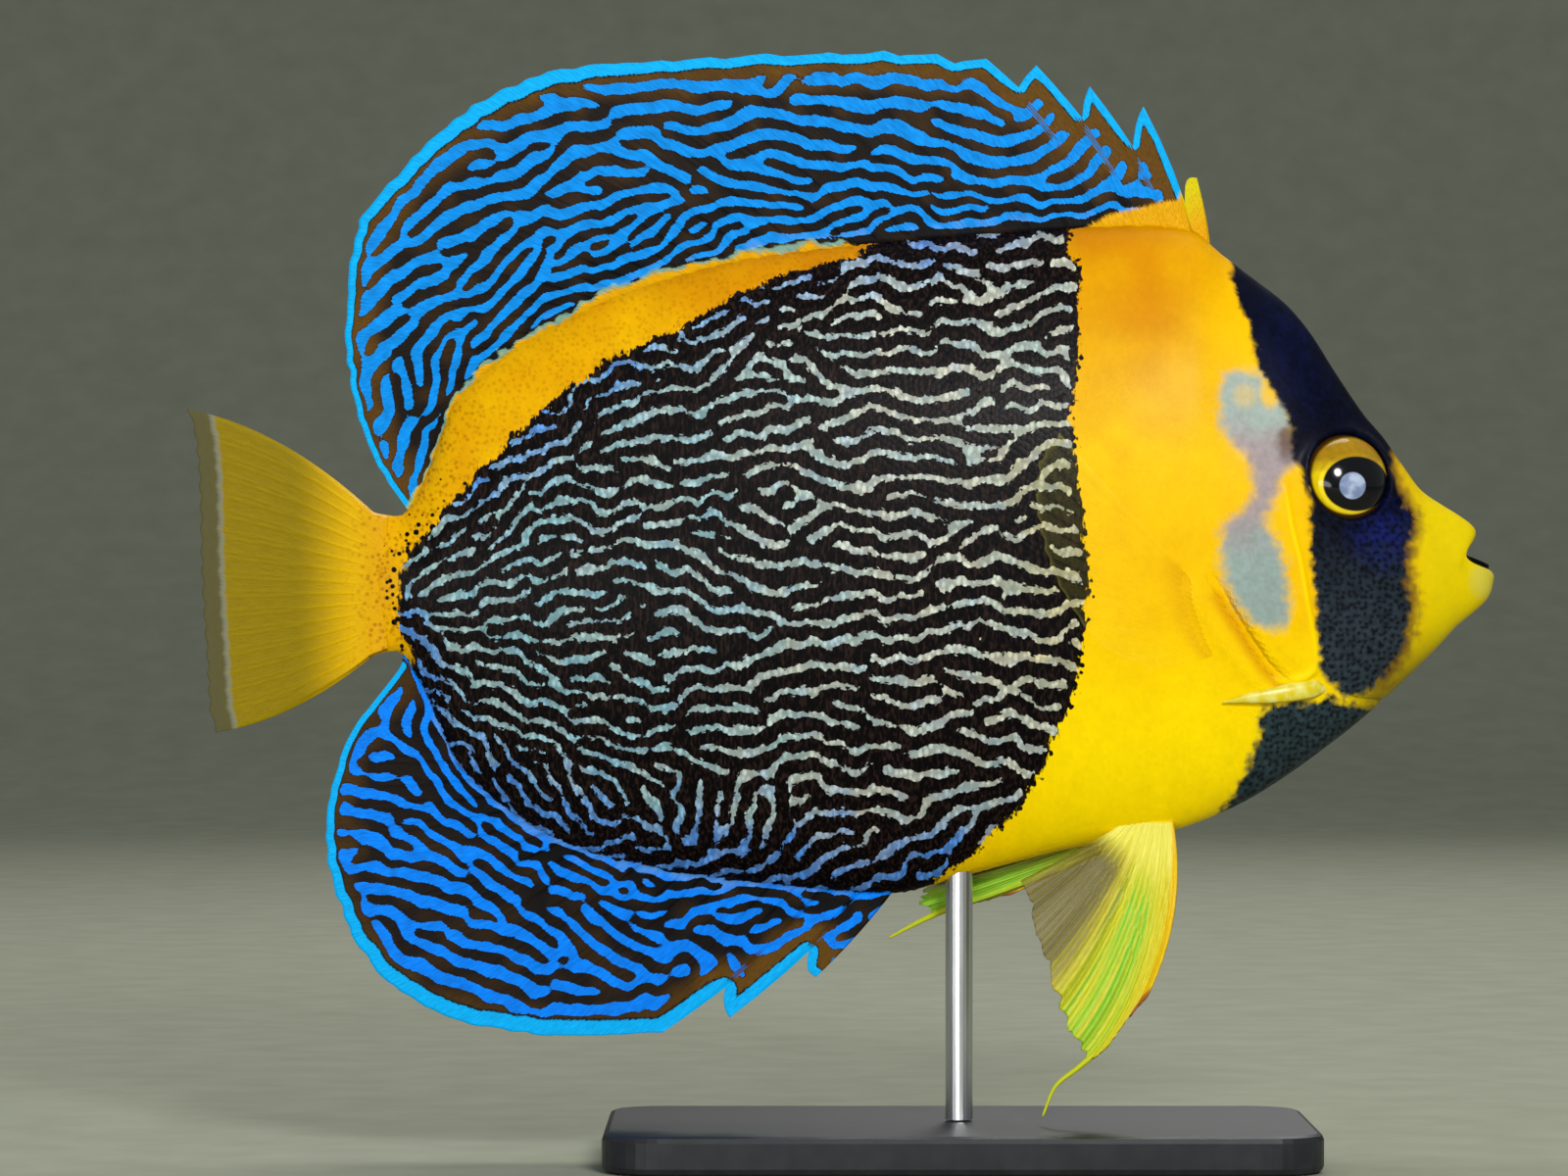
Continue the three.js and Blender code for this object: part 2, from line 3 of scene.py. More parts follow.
import bpy
import numpy as np
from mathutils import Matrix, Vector


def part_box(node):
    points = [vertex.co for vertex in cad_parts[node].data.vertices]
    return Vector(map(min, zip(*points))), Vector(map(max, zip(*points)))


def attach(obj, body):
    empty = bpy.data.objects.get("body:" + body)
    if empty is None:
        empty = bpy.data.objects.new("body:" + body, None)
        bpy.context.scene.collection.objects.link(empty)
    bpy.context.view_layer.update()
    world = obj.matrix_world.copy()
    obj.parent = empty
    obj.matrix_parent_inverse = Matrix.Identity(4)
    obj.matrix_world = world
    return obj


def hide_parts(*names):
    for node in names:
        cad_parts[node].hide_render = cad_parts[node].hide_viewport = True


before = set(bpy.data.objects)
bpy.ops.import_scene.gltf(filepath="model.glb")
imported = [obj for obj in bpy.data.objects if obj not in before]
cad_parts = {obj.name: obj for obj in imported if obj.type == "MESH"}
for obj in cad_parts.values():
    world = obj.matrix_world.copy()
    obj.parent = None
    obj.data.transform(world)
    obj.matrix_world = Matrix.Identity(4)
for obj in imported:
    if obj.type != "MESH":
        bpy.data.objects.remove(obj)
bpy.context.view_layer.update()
bpy.ops.object.select_all(action="DESELECT")
scene = bpy.context.scene
scene.view_settings.view_transform = "Standard"
print("frame loaded")

# The fish is worked in millimetres from the middle of its body: +X to the head, +Y to the left flank.
# The stand's rod and the top of its base say where that is in the frame.
stand = {"rodX": 6.0, "baseTop": -101.6}
rodLow, rodHigh = (np.array(corner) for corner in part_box("stand_rod"))
baseLow, baseHigh = (np.array(corner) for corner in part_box("stand_base"))
fishOrigin = np.array([
    (rodLow[0] + rodHigh[0]) / 2 - stand["rodX"] * 0.001,
    (rodLow[1] + rodHigh[1]) / 2,
    baseHigh[2] - stand["baseTop"] * 0.001,
])


def toFrame(points):
    return np.asarray(points, float) * 0.001 + fishOrigin


def rgb(red, green, blue):
    # a screen colour from 0 to 255 as the linear colour that a shader takes
    shares = np.array([red, green, blue]) / 255
    return np.where(shares <= 0.04045, shares / 12.92, ((shares + 0.055) / 1.055) ** 2.4)


palette = {
    "lemon": rgb(250, 216, 0),
    "amber": rgb(238, 188, 0),
    "orange": rgb(204, 130, 0),
    "snout": rgb(210, 188, 2),
    "olive": rgb(132, 116, 8),
    "chin": rgb(196, 184, 66),
    "navy": rgb(5, 9, 28),
    "deepBlue": rgb(16, 26, 92),
    "navyLow": rgb(43, 53, 60),
    "throat": rgb(42, 57, 61),
    "frost": rgb(148, 168, 166),
    "lavender": rgb(152, 142, 150),
    "slate": rgb(132, 156, 156),
    "umber": rgb(90, 56, 28),
    "freckle": rgb(160, 96, 0),
    "ink": rgb(5, 3, 4),
    "inkGrain": rgb(38, 26, 22),
    "cream": rgb(196, 196, 178),
    "straw": rgb(196, 182, 112),
    "teal": rgb(138, 180, 186),
    "skyLine": rgb(86, 146, 224),
    "finBlue": rgb(0, 126, 242),
    "finAzure": rgb(0, 138, 228),
    "finBrown": rgb(24, 18, 14),
    "finGold": rgb(104, 70, 12),
    "finInk": rgb(10, 8, 10),
    "edgeCyan": rgb(0, 172, 242),
    "tailGold": rgb(226, 178, 0),
    "tailOlive": rgb(142, 122, 0),
    "tailEdge": rgb(96, 90, 48),
    "tailLine": rgb(126, 128, 112),
    "finLemon": rgb(212, 198, 8),
    "finGreen": rgb(118, 196, 38),
    "finPale": rgb(234, 226, 92),
    "finSmoke": rgb(98, 82, 36),
    "sheath": rgb(136, 180, 160),
    "rust": rgb(160, 78, 36),
    "bone": rgb(220, 212, 104),
}


def through(keys):
    # a smooth curve through [x, y] keys that never overshoots them
    keys = sorted(keys)
    xs = np.array([key[0] for key in keys], float)
    ys = np.array([key[1] for key in keys], float)
    rise = np.diff(ys) / np.diff(xs)
    before = np.concatenate(([rise[0]], rise))
    after = np.concatenate((rise, [rise[-1]]))
    both = before * after
    lean = np.where(both > 0, 2 * both / np.where(both > 0, before + after, 1), 0)

    def at(x):
        x = np.asarray(x, float)
        i = np.clip(np.searchsorted(xs, x) - 1, 0, len(xs) - 2)
        span = xs[i + 1] - xs[i]
        t = np.clip((x - xs[i]) / span, 0, 1)
        start = (1 + 2 * t) * (1 - t) ** 2 * ys[i] + t * (1 - t) ** 2 * span * lean[i]
        end = t * t * (3 - 2 * t) * ys[i + 1] + t * t * (t - 1) * span * lean[i + 1]
        early = np.where(x < xs[0], lean[0] * (x - xs[0]), 0)
        late = np.where(x > xs[-1], lean[-1] * (x - xs[-1]), 0)
        return start + end + early + late

    return at


def smooth(low, high, value):
    t = np.clip((value - low) / (high - low), 0, 1)
    return t * t * (3 - 2 * t)


def blend(first, second, share):
    share = np.asarray(share)[..., None]
    return first * (1 - share) + second * share


def softer(first, second, width):
    # the larger of two sizes, rounded where they meet
    near = np.maximum(width - np.abs(first - second), 0) / width
    return np.maximum(first, second) + near * near * width / 4


def passing(before, first, second, after, t):
    # a point between the first and the second, on a smooth curve through all four
    square = 2 * before - 5 * first + 4 * second - after
    cube = 3 * first - before - 3 * second + after
    return 0.5 * (2 * first + (second - before) * t + square * t ** 2 + cube * t ** 3)


def bowed(root, by, tip, out):
    # a point on the way from a root to a tip, on a curve that leans towards a third point
    return (1 - out) ** 2 * root + 2 * out * (1 - out) * by + out * out * tip


def tipCurves(tips):
    # where the tips of the rays lie: x and z by the number of the ray
    return through([tip[:2] for tip in tips]), through([(tip[0], tip[2]) for tip in tips])


def mottle(x, z, size, seed):
    # smooth noise from -1 to 1 with blotches of the given size
    draws = np.random.default_rng(seed).uniform(-1, 1, (256, 256))
    i, j = np.floor(x / size), np.floor(z / size)
    u, v = x / size - i, z / size - j
    u, v = u * u * (3 - 2 * u), v * v * (3 - 2 * v)
    i, j = i.astype(int), j.astype(int)
    low = draws[i % 256, j % 256] * (1 - u) + draws[(i + 1) % 256, j % 256] * u
    high = draws[i % 256, (j + 1) % 256] * (1 - u) + draws[(i + 1) % 256, (j + 1) % 256] * u
    return low * (1 - v) + high * v


def dots(x, z, spacing, seed):
    # the distance to the nearest of many scattered points, which are about that far apart
    draws = np.random.default_rng(seed).uniform(0.15, 0.85, (2, 128, 128))
    i, j = np.floor(x / spacing).astype(int), np.floor(z / spacing).astype(int)
    best = np.full(np.shape(x), 1e9)
    for a in (-1, 0, 1):
        for b in (-1, 0, 1):
            u, v = draws[:, (i + a) % 128, (j + b) % 128]
            best = np.minimum(best, np.hypot(x - (i + a + u) * spacing, z - (j + b + v) * spacing))
    return best


def rounded(corners, steps=6):
    # a closed outline through its corners
    points = np.array(corners, float)
    before, after, far = np.roll(points, 1, 0), np.roll(points, -1, 0), np.roll(points, -2, 0)
    made = []
    for t in np.arange(steps) / steps:
        made.append(passing(before, points, after, far, t))
    return np.stack(made, 1).reshape(-1, 2)


def distanceTo(line, x, z):
    # the distance from each point to a polyline
    best = np.full(np.shape(x), 1e9)
    for (ax, az), (bx, bz) in zip(line[:-1], line[1:]):
        dx, dz = bx - ax, bz - az
        t = np.clip(((x - ax) * dx + (z - az) * dz) / (dx * dx + dz * dz + 1e-12), 0, 1)
        best = np.minimum(best, np.hypot(x - ax - t * dx, z - az - t * dz))
    return best


def inside(outline, x, z):
    # the distance to a closed outline, positive inside it
    ring = np.vstack((outline, outline[:1]))
    odd = np.zeros(np.shape(x), bool)
    for (ax, az), (bx, bz) in zip(ring[:-1], ring[1:]):
        crosses = (az > z) != (bz > z)
        odd ^= crosses & (x < (bx - ax) * (z - az) / (bz - az + 1e-12) + ax)
    return np.where(odd, 1, -1) * distanceTo(ring, x, z)


# Body, with the same key sizes as the solids
body = {
    "tailEnd": -101.5,
    "snoutEnd": 104.1,
    "back": [(-101.5, 10.2), (-97, 9.6), (-93, 15), (-86.3, 31.3), (-68.6, 45), (-51.4, 52.7), (-28.7, 58.1),
             (8.8, 61.6), (40.2, 63.3), (48.4, 62.3), (54.2, 57.8), (60.2, 53.2), (65.8, 48.8), (70, 44),
             (75.2, 35.9), (80.5, 28.1), (84, 24), (87.5, 18.9), (91, 14.3), (94.9, 11.6), (98.4, 9.4),
             (101.1, 7), (103.4, 1), (104.1, -0.9)],
    "belly": [(-101.5, -15.9), (-97.5, -15.2), (-92.8, -21.9), (-85, -38), (-62.5, -52.3), (-33.2, -57.9),
              (-7.9, -59.8), (8.8, -56), (26.2, -51.6), (43.8, -48.6), (56, -44.1), (75.2, -31.5),
              (92.8, -15.7), (98, -10.1), (101.1, -7.3), (103.4, -4.2), (104.1, -2.5)],
    "width": [(-101.5, 2.5), (-92.8, 4.8), (-70, 11), (-35, 15.2), (0, 17.2), (35, 17.6), (61.2, 15.8),
              (78.8, 12.6), (91, 8.4), (98, 5.7), (101.5, 4.4), (103.4, 2.7), (104.1, 0.9)],
    "pinch": [(-101.5, 1), (-60, 1.25), (40, 1.2), (70, 0.9), (90, 0.85), (104.1, 0.9)],
}
backAt = through(body["back"])
bellyAt = through(body["belly"])
widthAt = through(body["width"])
pinchAt = through(body["pinch"])


def depthAt(x):
    # the middle height of the body at x, and half its depth
    back, belly = backAt(x), bellyAt(x)
    return (back + belly) / 2, (back - belly) / 2


def flank(x, z):
    # half the thickness of the body at a point seen from the side
    x = np.clip(x, body["tailEnd"], body["snoutEnd"])
    middle, half = depthAt(x)
    level = np.clip((z - middle) / half, -1, 1)
    return widthAt(x) * (1 - level * level) ** (pinchAt(x) / 2)


def flankNormal(x, z, side):
    step = 0.5
    alongX = (flank(x + step, z) - flank(x - step, z)) / (2 * step)
    alongZ = (flank(x, z + step) - flank(x, z - step)) / (2 * step)
    normal = np.array([-alongX, side, -alongZ], float)
    return normal / np.linalg.norm(normal)


eye = {
    "at": (76.9, 16.8),
    "radius": 8.0,
    "depth": 5.0,
    "sunk": 2.0,
    "socket": (8.35, 7.15),
    "socketDeep": 3.4,
    "rim": {"at": 8.6, "wide": 0.7, "high": 0.4},
    "flattened": (11, 8),
    "flatShare": 0.7,
}
gill = {
    "edge": [(64, 18.9), (67, 5.1), (69.1, -7), (70.9, -17.6), (68.8, -20.8), (66.2, -21.1), (63.3, -19),
             (54.1, -5.2), (50.3, 6.9), (51.1, 15.5), (53.6, 22.5), (58.4, 25), (61.9, 23.3)],
    "ridge": [(64.8, 14.7), (65.8, 8), (67.5, 1.4), (68.8, -5.8), (70.1, -12.4), (70.8, -17), (70.4, -18.7),
              (68.5, -20), (65.8, -20.7), (63.5, -20.4)],
    "groove": [(51.4, 0.3), (52, -1.8), (53.6, -4.5), (56.6, -9.1), (59.2, -13.1), (61.8, -17),
               (65.5, -20.7)],
    "flap": [(47.3, -3.8), (50.6, -9.1), (55.2, -15.7), (59.2, -20.4), (61.8, -22.4)],
    "proud": 0.8,
    "ridgeProud": 0.5,
    "grooveDeep": 0.6,
    "flapProud": 0.45,
}
nostrils = {
    "pits": [{"at": (86.9, 11.3), "radius": 0.62}, {"at": (88.8, 9.9), "radius": 0.45}],
    "deep": 1.1,
    "rimHigh": 0.22,
    "rimWide": 0.3,
}
folds = {
    "throat": {"line": [(74.8, -22.4), (78.6, -23.9), (84.6, -24.4)], "deep": 0.35, "wide": 0.5},
    "jaw": {"line": [(98.7, 0.6), (98.4, -2.2), (98.8, -4.6)], "deep": 0.16, "wide": 0.8},
}
gillOutline = rounded(gill["edge"])


def reliefAt(x, z):
    # how far the skin of the head stands proud of the plain body, in millimetres
    plate = inside(gillOutline, x, z)
    ridge = distanceTo(gill["ridge"], x, z)
    groove = distanceTo(gill["groove"], x, z)
    flap = distanceTo(gill["flap"], x, z)
    rise = 0.35 + 0.65 * smooth(1, 9, ridge)
    relief = gill["proud"] * rise * smooth(0, 0.8 + 12 * smooth(-6, 5, z), plate)
    relief += gill["ridgeProud"] * np.exp(-(ridge / 0.65) ** 2) * smooth(17, 11, z)
    relief += gill["flapProud"] * np.exp(-(flap / 1.8) ** 2) * smooth(1, -7, z)
    relief -= gill["grooveDeep"] * np.exp(-(groove / 0.6) ** 2) * smooth(1, -4, z)
    for fold in folds.values():
        relief -= fold["deep"] * np.exp(-(distanceTo(fold["line"], x, z) / fold["wide"]) ** 2)
    for pit in nostrils["pits"]:
        away = np.hypot(x - pit["at"][0], z - pit["at"][1])
        relief -= nostrils["deep"] * np.exp(-(away / pit["radius"]) ** 2)
        rim = (away - 1.7 * pit["radius"]) / nostrils["rimWide"]
        relief += nostrils["rimHigh"] * np.exp(-rim ** 2)
    return relief


# Markings. Outlines are in millimetres, seen from the side.
zones = {
    "scribbled": [(25.5, 59.2), (27.7, 53.4), (26.9, 36.3), (26.2, 27.6), (27.3, 15.5), (28.6, -1.8),
                  (28.2, -12.1), (26.4, -22.6), (23, -31.1), (17.8, -41.5), (11.7, -49.3), (4.8, -54.4),
                  (0, -59), (-10, -66), (-60, -66), (-90, -44), (-98, -24), (-94, -17.6), (-96.4, -13),
                  (-97.3, -7), (-95.6, 1.8), (-91.8, 6.5), (-84, 15.9), (-74.4, 25), (-60, 36.9),
                  (-42.9, 45.5), (-26.4, 53.9), (-15, 56.9), (-8, 60.5), (-4, 68), (25, 68)],
    "mask": [(56, 52.3), (58.1, 46.4), (59.6, 39.8), (61.7, 34.3), (64.5, 30.2), (66.1, 25.2), (66.6, 20.2),
             (68.4, 16.2), (69.3, 11), (69.7, 3.9), (70.4, -4), (70.9, -12.5), (71.8, -18.7), (74.8, -21.7),
             (78, -23.1), (82, -21), (85.9, -15.4), (87.9, -8.4), (87, -1.2), (87.5, 3.9), (88.8, 8.2),
             (87, 11.8), (85, 16.2), (84.8, 20.5), (86, 28), (72, 58), (58, 60)],
    "throat": [(61.7, -25.4), (60.3, -31.2), (57.8, -38.2), (54.8, -43.6), (53.2, -51.5), (78.9, -39.6),
               (82.4, -28.3), (78.4, -25.2), (71, -24.4)],
    "pale": [(53.2, 30.8), (54.5, 35.5), (60.5, 35.4), (62.7, 32.1), (65.2, 29), (66.4, 23.6), (66.6, 19.1),
             (64.4, 16.9), (62.4, 11.2), (61.1, 8.4), (64.1, 3.1), (65.4, -6), (64.4, -10.9), (58.4, -9.2),
             (53.9, -2.1), (53.3, 4.5), (54.1, 8.4), (58.2, 11.5), (59.1, 15.7), (57, 21.2), (53.7, 24.3)],
}
outlines = {name: rounded(zone) for name, zone in zones.items()}
cheekSpot = {"at": (65.4, 22.3), "size": (2.3, 3.9)}


def ways(anchors, x, z, plain):
    # the direction of the lines at each point, blended from a few anchors (x, z, degrees, reach)
    cosine = np.full(np.shape(x), 0.25 * math.cos(math.radians(2 * plain)))
    sine = np.full(np.shape(x), 0.25 * math.sin(math.radians(2 * plain)))
    for ax, az, degrees, reach in anchors:
        pull = np.exp(-((x - ax) ** 2 + (z - az) ** 2) / reach ** 2)
        cosine += pull * math.cos(math.radians(2 * degrees))
        sine += pull * math.sin(math.radians(2 * degrees))
    return np.arctan2(sine, cosine) / 2


def scribble(way, fine, hold, seed, style):
    # lines that follow the given ways, grown from seeded noise: each round keeps the waves of the chosen
    # spacing that lie across the local way, and an uneven threshold breaks the lines up
    rows, columns = way.shape
    across = np.fft.fftfreq(rows, gridStep)[:, None]
    along = np.fft.rfftfreq(columns, gridStep)[None, :]
    size = np.hypot(across, along)
    facing = np.arctan2(across, along)
    bank = []
    for wave, weight in zip(style["waves"], (1 - fine, fine)):
        for turn in np.arange(8) * math.pi / 8:
            off = (facing - turn) % math.pi - math.pi / 2
            lobe = np.exp(-(off / style["focus"]) ** 2) + style["floor"]
            lobe = lobe * np.exp(-((size * wave - 1) / style["spread"]) ** 2)
            bank.append((lobe, weight * np.abs(np.cos(way - turn)) ** 12))
    total = sum(share for lobe, share in bank)
    down, right = np.mgrid[0:rows, 0:columns] * gridStep
    uneven = mottle(right, down, 7, seed + 1) + mottle(right, down, 2.8, seed + 2)
    uneven = style["bias"] + style["rough"] * uneven
    value = np.random.default_rng(seed).normal(0, 1, way.shape)
    for _ in range(style["rounds"]):
        waves = np.fft.rfft2(value)
        value = sum(share * np.fft.irfft2(waves * lobe, way.shape) for lobe, share in bank) / total
        value = hold(np.tanh(1.6 * (value / value.std() - uneven)))
    waves = np.fft.rfft2(value)
    smoothed = np.fft.irfft2(waves * np.exp(-(size * style["waves"][1] / 1.9) ** 4), way.shape)
    return smoothed / np.percentile(np.abs(smoothed), 90)


def wander(x, z, seed):
    # turns the ways of the lines a little, from place to place
    return 0.5 * mottle(x, z, 9, seed) + 0.3 * mottle(x, z, 4.5, seed + 1)


def jogged(at, x, z, amount, seed):
    # reads a field of lines with small jogs, which neighbouring lines share
    aside = 0.5 * mottle(x, z, 3, seed) + 0.3 * mottle(x, z, 1.5, seed + 1)
    upward = 0.85 * mottle(x, z / 2.3, 2.6, seed + 2) + 0.3 * mottle(x, z, 1.2, seed + 3)
    return at(x + amount * aside, z + amount * upward)


def sampler(xs, zs, field):
    step = xs[1] - xs[0]

    def at(x, z):
        i = np.clip((x - xs[0]) / step, 0, len(xs) - 1.001)
        j = np.clip((z - zs[0]) / step, 0, len(zs) - 1.001)
        a, b = i.astype(int), j.astype(int)
        u, v = i - a, j - b
        low = field[b, a] * (1 - u) + field[b, a + 1] * u
        high = field[b + 1, a] * (1 - u) + field[b + 1, a + 1] * u
        return low * (1 - v) + high * v

    return at


gridStep = 0.35
flankLines = {
    "x": (-104, 36),
    "z": (-68, 68),
    "waves": (3.95, 3.05),
    "spread": 0.42,
    "rounds": 5,
    "focus": 0.62,
    "floor": 0.5,
    "bias": 0.07,
    "rough": 0.3,
    "ways": [(-78, 10, 40, 13), (-90, 0, 25, 8), (-90, -14, -35, 8), (-80, -28, -55, 13), (-66, -40, -72, 8),
             (-50, -42, 100, 7), (-38, -44, 85, 7), (-27, -45, 70, 7), (-84, -36, -52, 6), (-70, -48, -38, 6),
             (-55, -54, -20, 5), (-35, -57, -6, 5), (-15, -59, 0, 5), (-66, -20, -12, 12), (-40, 44, 22, 12),
             (-10, -52, 35, 9), (4, -48, 60, 8), (22, 40, 0, 20), (10, 0, 0, 40), (-30, 0, 0, 30)],
}
flankX = np.arange(*flankLines["x"], gridStep)
flankZ = np.arange(*flankLines["z"], gridStep)
meshX, meshZ = np.meshgrid(flankX, flankZ)
flankEdge = inside(outlines["scribbled"], meshX, meshZ) + 0.7 * mottle(meshX, meshZ, 4, 9)
flankWays = ways(flankLines["ways"], meshX, meshZ, 2) + wander(meshX, meshZ, 77)
flankFine = np.maximum(smooth(-20, -80, meshX), 0.7 * smooth(18, 44, meshZ) * smooth(15, -20, meshX))
flankField = scribble(flankWays, flankFine, lambda v: np.where(flankEdge < 0.5, -1, v), 21, flankLines)
flankAt = sampler(flankX, flankZ, flankField)
print("flank lines grown")


def skinColour(x, z, seed=5):
    # the colour outside the scribbles: yellow, navy mask, pale patch and snout, with painted shade under the
    # gill groove and a painted highlight along the gill ridge
    fuzz = 0.9 * mottle(x, z, 1.1, seed) + 0.5 * mottle(x, z, 0.5, seed + 1)
    warm = smooth(20, 62, z + 8 * mottle(x, z, 14, seed + 2)) * smooth(64, 40, x)
    warm = np.maximum(warm, 0.45 * smooth(0, -20, x))
    warm = np.clip(warm + 0.15 * mottle(x, z, 5, seed + 3), 0, 1)
    colour = blend(palette["amber"], palette["orange"], warm)
    breast = smooth(-2, -34, z + 3 * mottle(x, z, 8, seed + 10)) * smooth(-10, 30, x)
    colour = blend(colour, palette["lemon"], breast)
    colour = blend(colour, palette["snout"], smooth(82, 94, x) * 0.9)
    colour = colour * (1 + 0.03 * mottle(x, z, 0.7, seed + 4) + 0.03 * mottle(x, z, 2.5, seed + 9))[..., None]
    colour = blend(colour, palette["chin"], 0.8 * smooth(4.6, 2.2, np.hypot(x - 103, z + 2.2)))
    colour = blend(colour, palette["olive"], 0.8 * smooth(-8, -22, z) * smooth(73, 82, x))
    # painted shade: a darker orange band just below the gill groove, where the edge of the gill cover shades
    # the skin
    under = distanceTo([(a - 1.3, b - 0.9) for a, b in gill["groove"][2:]], x, z)
    colour = blend(colour, palette["orange"], 0.6 * np.exp(-(under / 1.3) ** 2))
    pale = inside(outlines["pale"], x, z) + 0.7 * fuzz
    bluish = blend(palette["lavender"], palette["frost"], smooth(20, 28, z + 2 * mottle(x, z, 3, seed + 5)))
    bluish = blend(bluish, palette["slate"], smooth(10, 2, z + 2 * mottle(x, z, 3, seed + 5)))
    bluish = bluish * (1 + 0.12 * mottle(x, z, 0.6, seed + 11))[..., None]
    warmSpot = 0.35 * smooth(3.2, 1.0, np.hypot(x - 57.6, z - 31.4))
    warmSpot = np.maximum(warmSpot, 0.8 * smooth(2.6, 1.0, np.hypot(x - 62.2, (z - 31.8) * 0.7)))
    colour = blend(colour, blend(bluish, palette["amber"], warmSpot), 0.94 * smooth(-1.5, 1.5, pale))
    # painted highlight: a thin lemon line along the raised gill-cover ridge, where light catches it
    ridge = np.exp(-(distanceTo(gill["ridge"], x, z) / 0.4) ** 2) * smooth(16, 8, z)
    colour = blend(colour, palette["lemon"], 0.75 * ridge)
    (spotX, spotZ), (spotWide, spotTall) = cheekSpot["at"], cheekSpot["size"]
    away = np.hypot((x - spotX) / spotWide, (z - spotZ) / spotTall)
    spot = blend(palette["umber"], palette["lavender"] * 0.55, smooth(23, 18, z))
    colour = blend(colour, spot, 0.75 * smooth(1.25, 0.5, away + 0.2 * fuzz))
    face = inside(outlines["mask"], x, z)
    under = inside(outlines["throat"], x, z)
    rust = smooth(-3.4, -0.1, face + 0.8 * fuzz) * smooth(80, 84, x)
    colour = blend(colour, palette["umber"], 0.85 * rust)
    navy = blend(palette["navyLow"], palette["navy"], smooth(-16, 16, z + 5 * mottle(x, z, 6, seed + 6)))
    glow = smooth(9, 2, np.hypot(x - 83, z - 6))
    glow = np.maximum(glow, 0.2 * smooth(16, 4, np.hypot((x - 66) * 1.6, z - 38)))
    navy = blend(navy, palette["deepBlue"], 0.75 * glow * (0.75 + 0.5 * mottle(x, z, 1.1, seed + 13)))
    navy = blend(navy, palette["throat"], smooth(-21, -24, z))
    speckle = smooth(0.5, 0.26, dots(x, z, 1.15, seed + 7)) * smooth(70, 0, z)
    navy = blend(navy, palette["ink"], 0.85 * speckle)
    navy = navy * (1 + 0.35 * mottle(x, z, 0.6, seed + 8) + 0.15 * mottle(x, z, 1.7, seed + 14))[..., None]
    netted = 1.2 * mottle(x, z, 1.3, seed + 12) * smooth(-27, -24, z)
    return blend(colour, navy, np.maximum(smooth(-0.7, 0.5, face + fuzz * 0.6),
                                          smooth(-0.9, 0.5, under + fuzz * 0.8 + netted)))


def lineColour(x, z, border, seed=40):
    # cream in the middle of the flank, straw at its front, teal to the rear, blue near the fins
    rear = smooth(5, -75, x + 10 * mottle(x, z, 6, seed))
    bluer = np.clip(0.2 + 0.7 * rear + 0.3 * mottle(x, z, 4, seed + 4), 0, 1)
    colour = blend(palette["cream"], palette["teal"], bluer)
    colour = blend(colour, palette["straw"],
                   0.55 * smooth(6, 26, x) * smooth(-32, -12, z) * smooth(34, 16, z))
    cold = smooth(20, 2, z - bellyAt(x) + 5 * mottle(x, z, 5, seed + 1)) * smooth(26, 0, x)
    top = smooth(11, 2, border) * smooth(5, -20, x) * smooth(4, 18, z)
    top = np.maximum(top, smooth(12, 2, backAt(x) - z) * smooth(30, 0, x))
    cold = np.maximum(cold, (0.65 + 0.5 * mottle(x, z, 7, seed + 6)) * top)
    colour = blend(colour, palette["skyLine"], np.clip(cold + 0.2 * mottle(x, z, 2.5, seed + 2), 0, 1))
    return colour * (0.95 + 0.14 * mottle(x, z, 1.0, seed + 3))[..., None]


def pointsOf(piece):
    co = np.empty(len(piece.data.vertices) * 3, np.float32)
    piece.data.vertices.foreach_get("co", co)
    return co.reshape(-1, 3)


def setPoints(piece, points):
    piece.data.vertices.foreach_set("co", toFrame(points).astype(np.float32).ravel())
    piece.data.update()


def keep(piece, name, values, kind="FLOAT"):
    # stores numbers or colours on the points of a mesh, for its material
    values = np.asarray(values, np.float32)
    slot = piece.data.attributes.new(name, kind, "POINT")
    if kind == "FLOAT_COLOR":
        values = np.concatenate((values, np.ones((len(values), 1), np.float32)), 1)
        slot.data.foreach_set("color", values.ravel())
    else:
        slot.data.foreach_set("value", values)


def keepCoat(piece, x, z, lineX, lineZ):
    # everything that the skin and the scales need to know about the markings
    border = inside(outlines["scribbled"], lineX, lineZ)
    border += 0.7 * mottle(lineX, lineZ, 3.5, 15) + 0.2 * mottle(lineX, lineZ, 1.0, 16)
    keep(piece, "scrib", jogged(flankAt, lineX, lineZ, 1.0, 5))
    keep(piece, "inner", np.clip(border, -6, 6))
    keep(piece, "dotReach", 1.7 - 0.8 * smooth(15, 0, x) + 6 * smooth(-80, -92, x))
    keep(piece, "rear", smooth(16, -4, x) * (0.55 + 0.45 * smooth(-78, -90, x)))
    keep(piece, "skinColour", skinColour(x, z), "FLOAT_COLOR")
    keep(piece, "lineColour", lineColour(x, z, border), "FLOAT_COLOR")


def active():
    return bpy.context.view_layer.objects.active


def finished(piece, name, creased=False):
    piece.name = name
    piece.data.name = name
    bpy.context.view_layer.objects.active = piece
    piece.select_set(True)
    if creased:
        bpy.ops.object.shade_smooth_by_angle(angle=0.6)
    else:
        bpy.ops.object.shade_smooth()
    bpy.ops.object.select_all(action="DESELECT")
    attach(piece, "root")
    return piece


def faceOut(piece):
    bpy.context.view_layer.objects.active = piece
    bpy.ops.object.mode_set(mode="EDIT")
    bpy.ops.mesh.select_all(action="SELECT")
    bpy.ops.mesh.normals_make_consistent(inside=False)
    bpy.ops.object.mode_set(mode="OBJECT")


def arcs(x, count=160):
    # the section at x from back to belly: turns, heights, half widths and lengths along it
    turn = np.linspace(0, math.pi, count)
    middle, half = depthAt(x)
    z = middle + half * np.cos(turn)
    y = widthAt(x) * np.abs(np.sin(turn)) ** pinchAt(x)
    length = np.concatenate(([0], np.cumsum(np.hypot(np.diff(y), np.diff(z)))))
    return turn, z, y, length


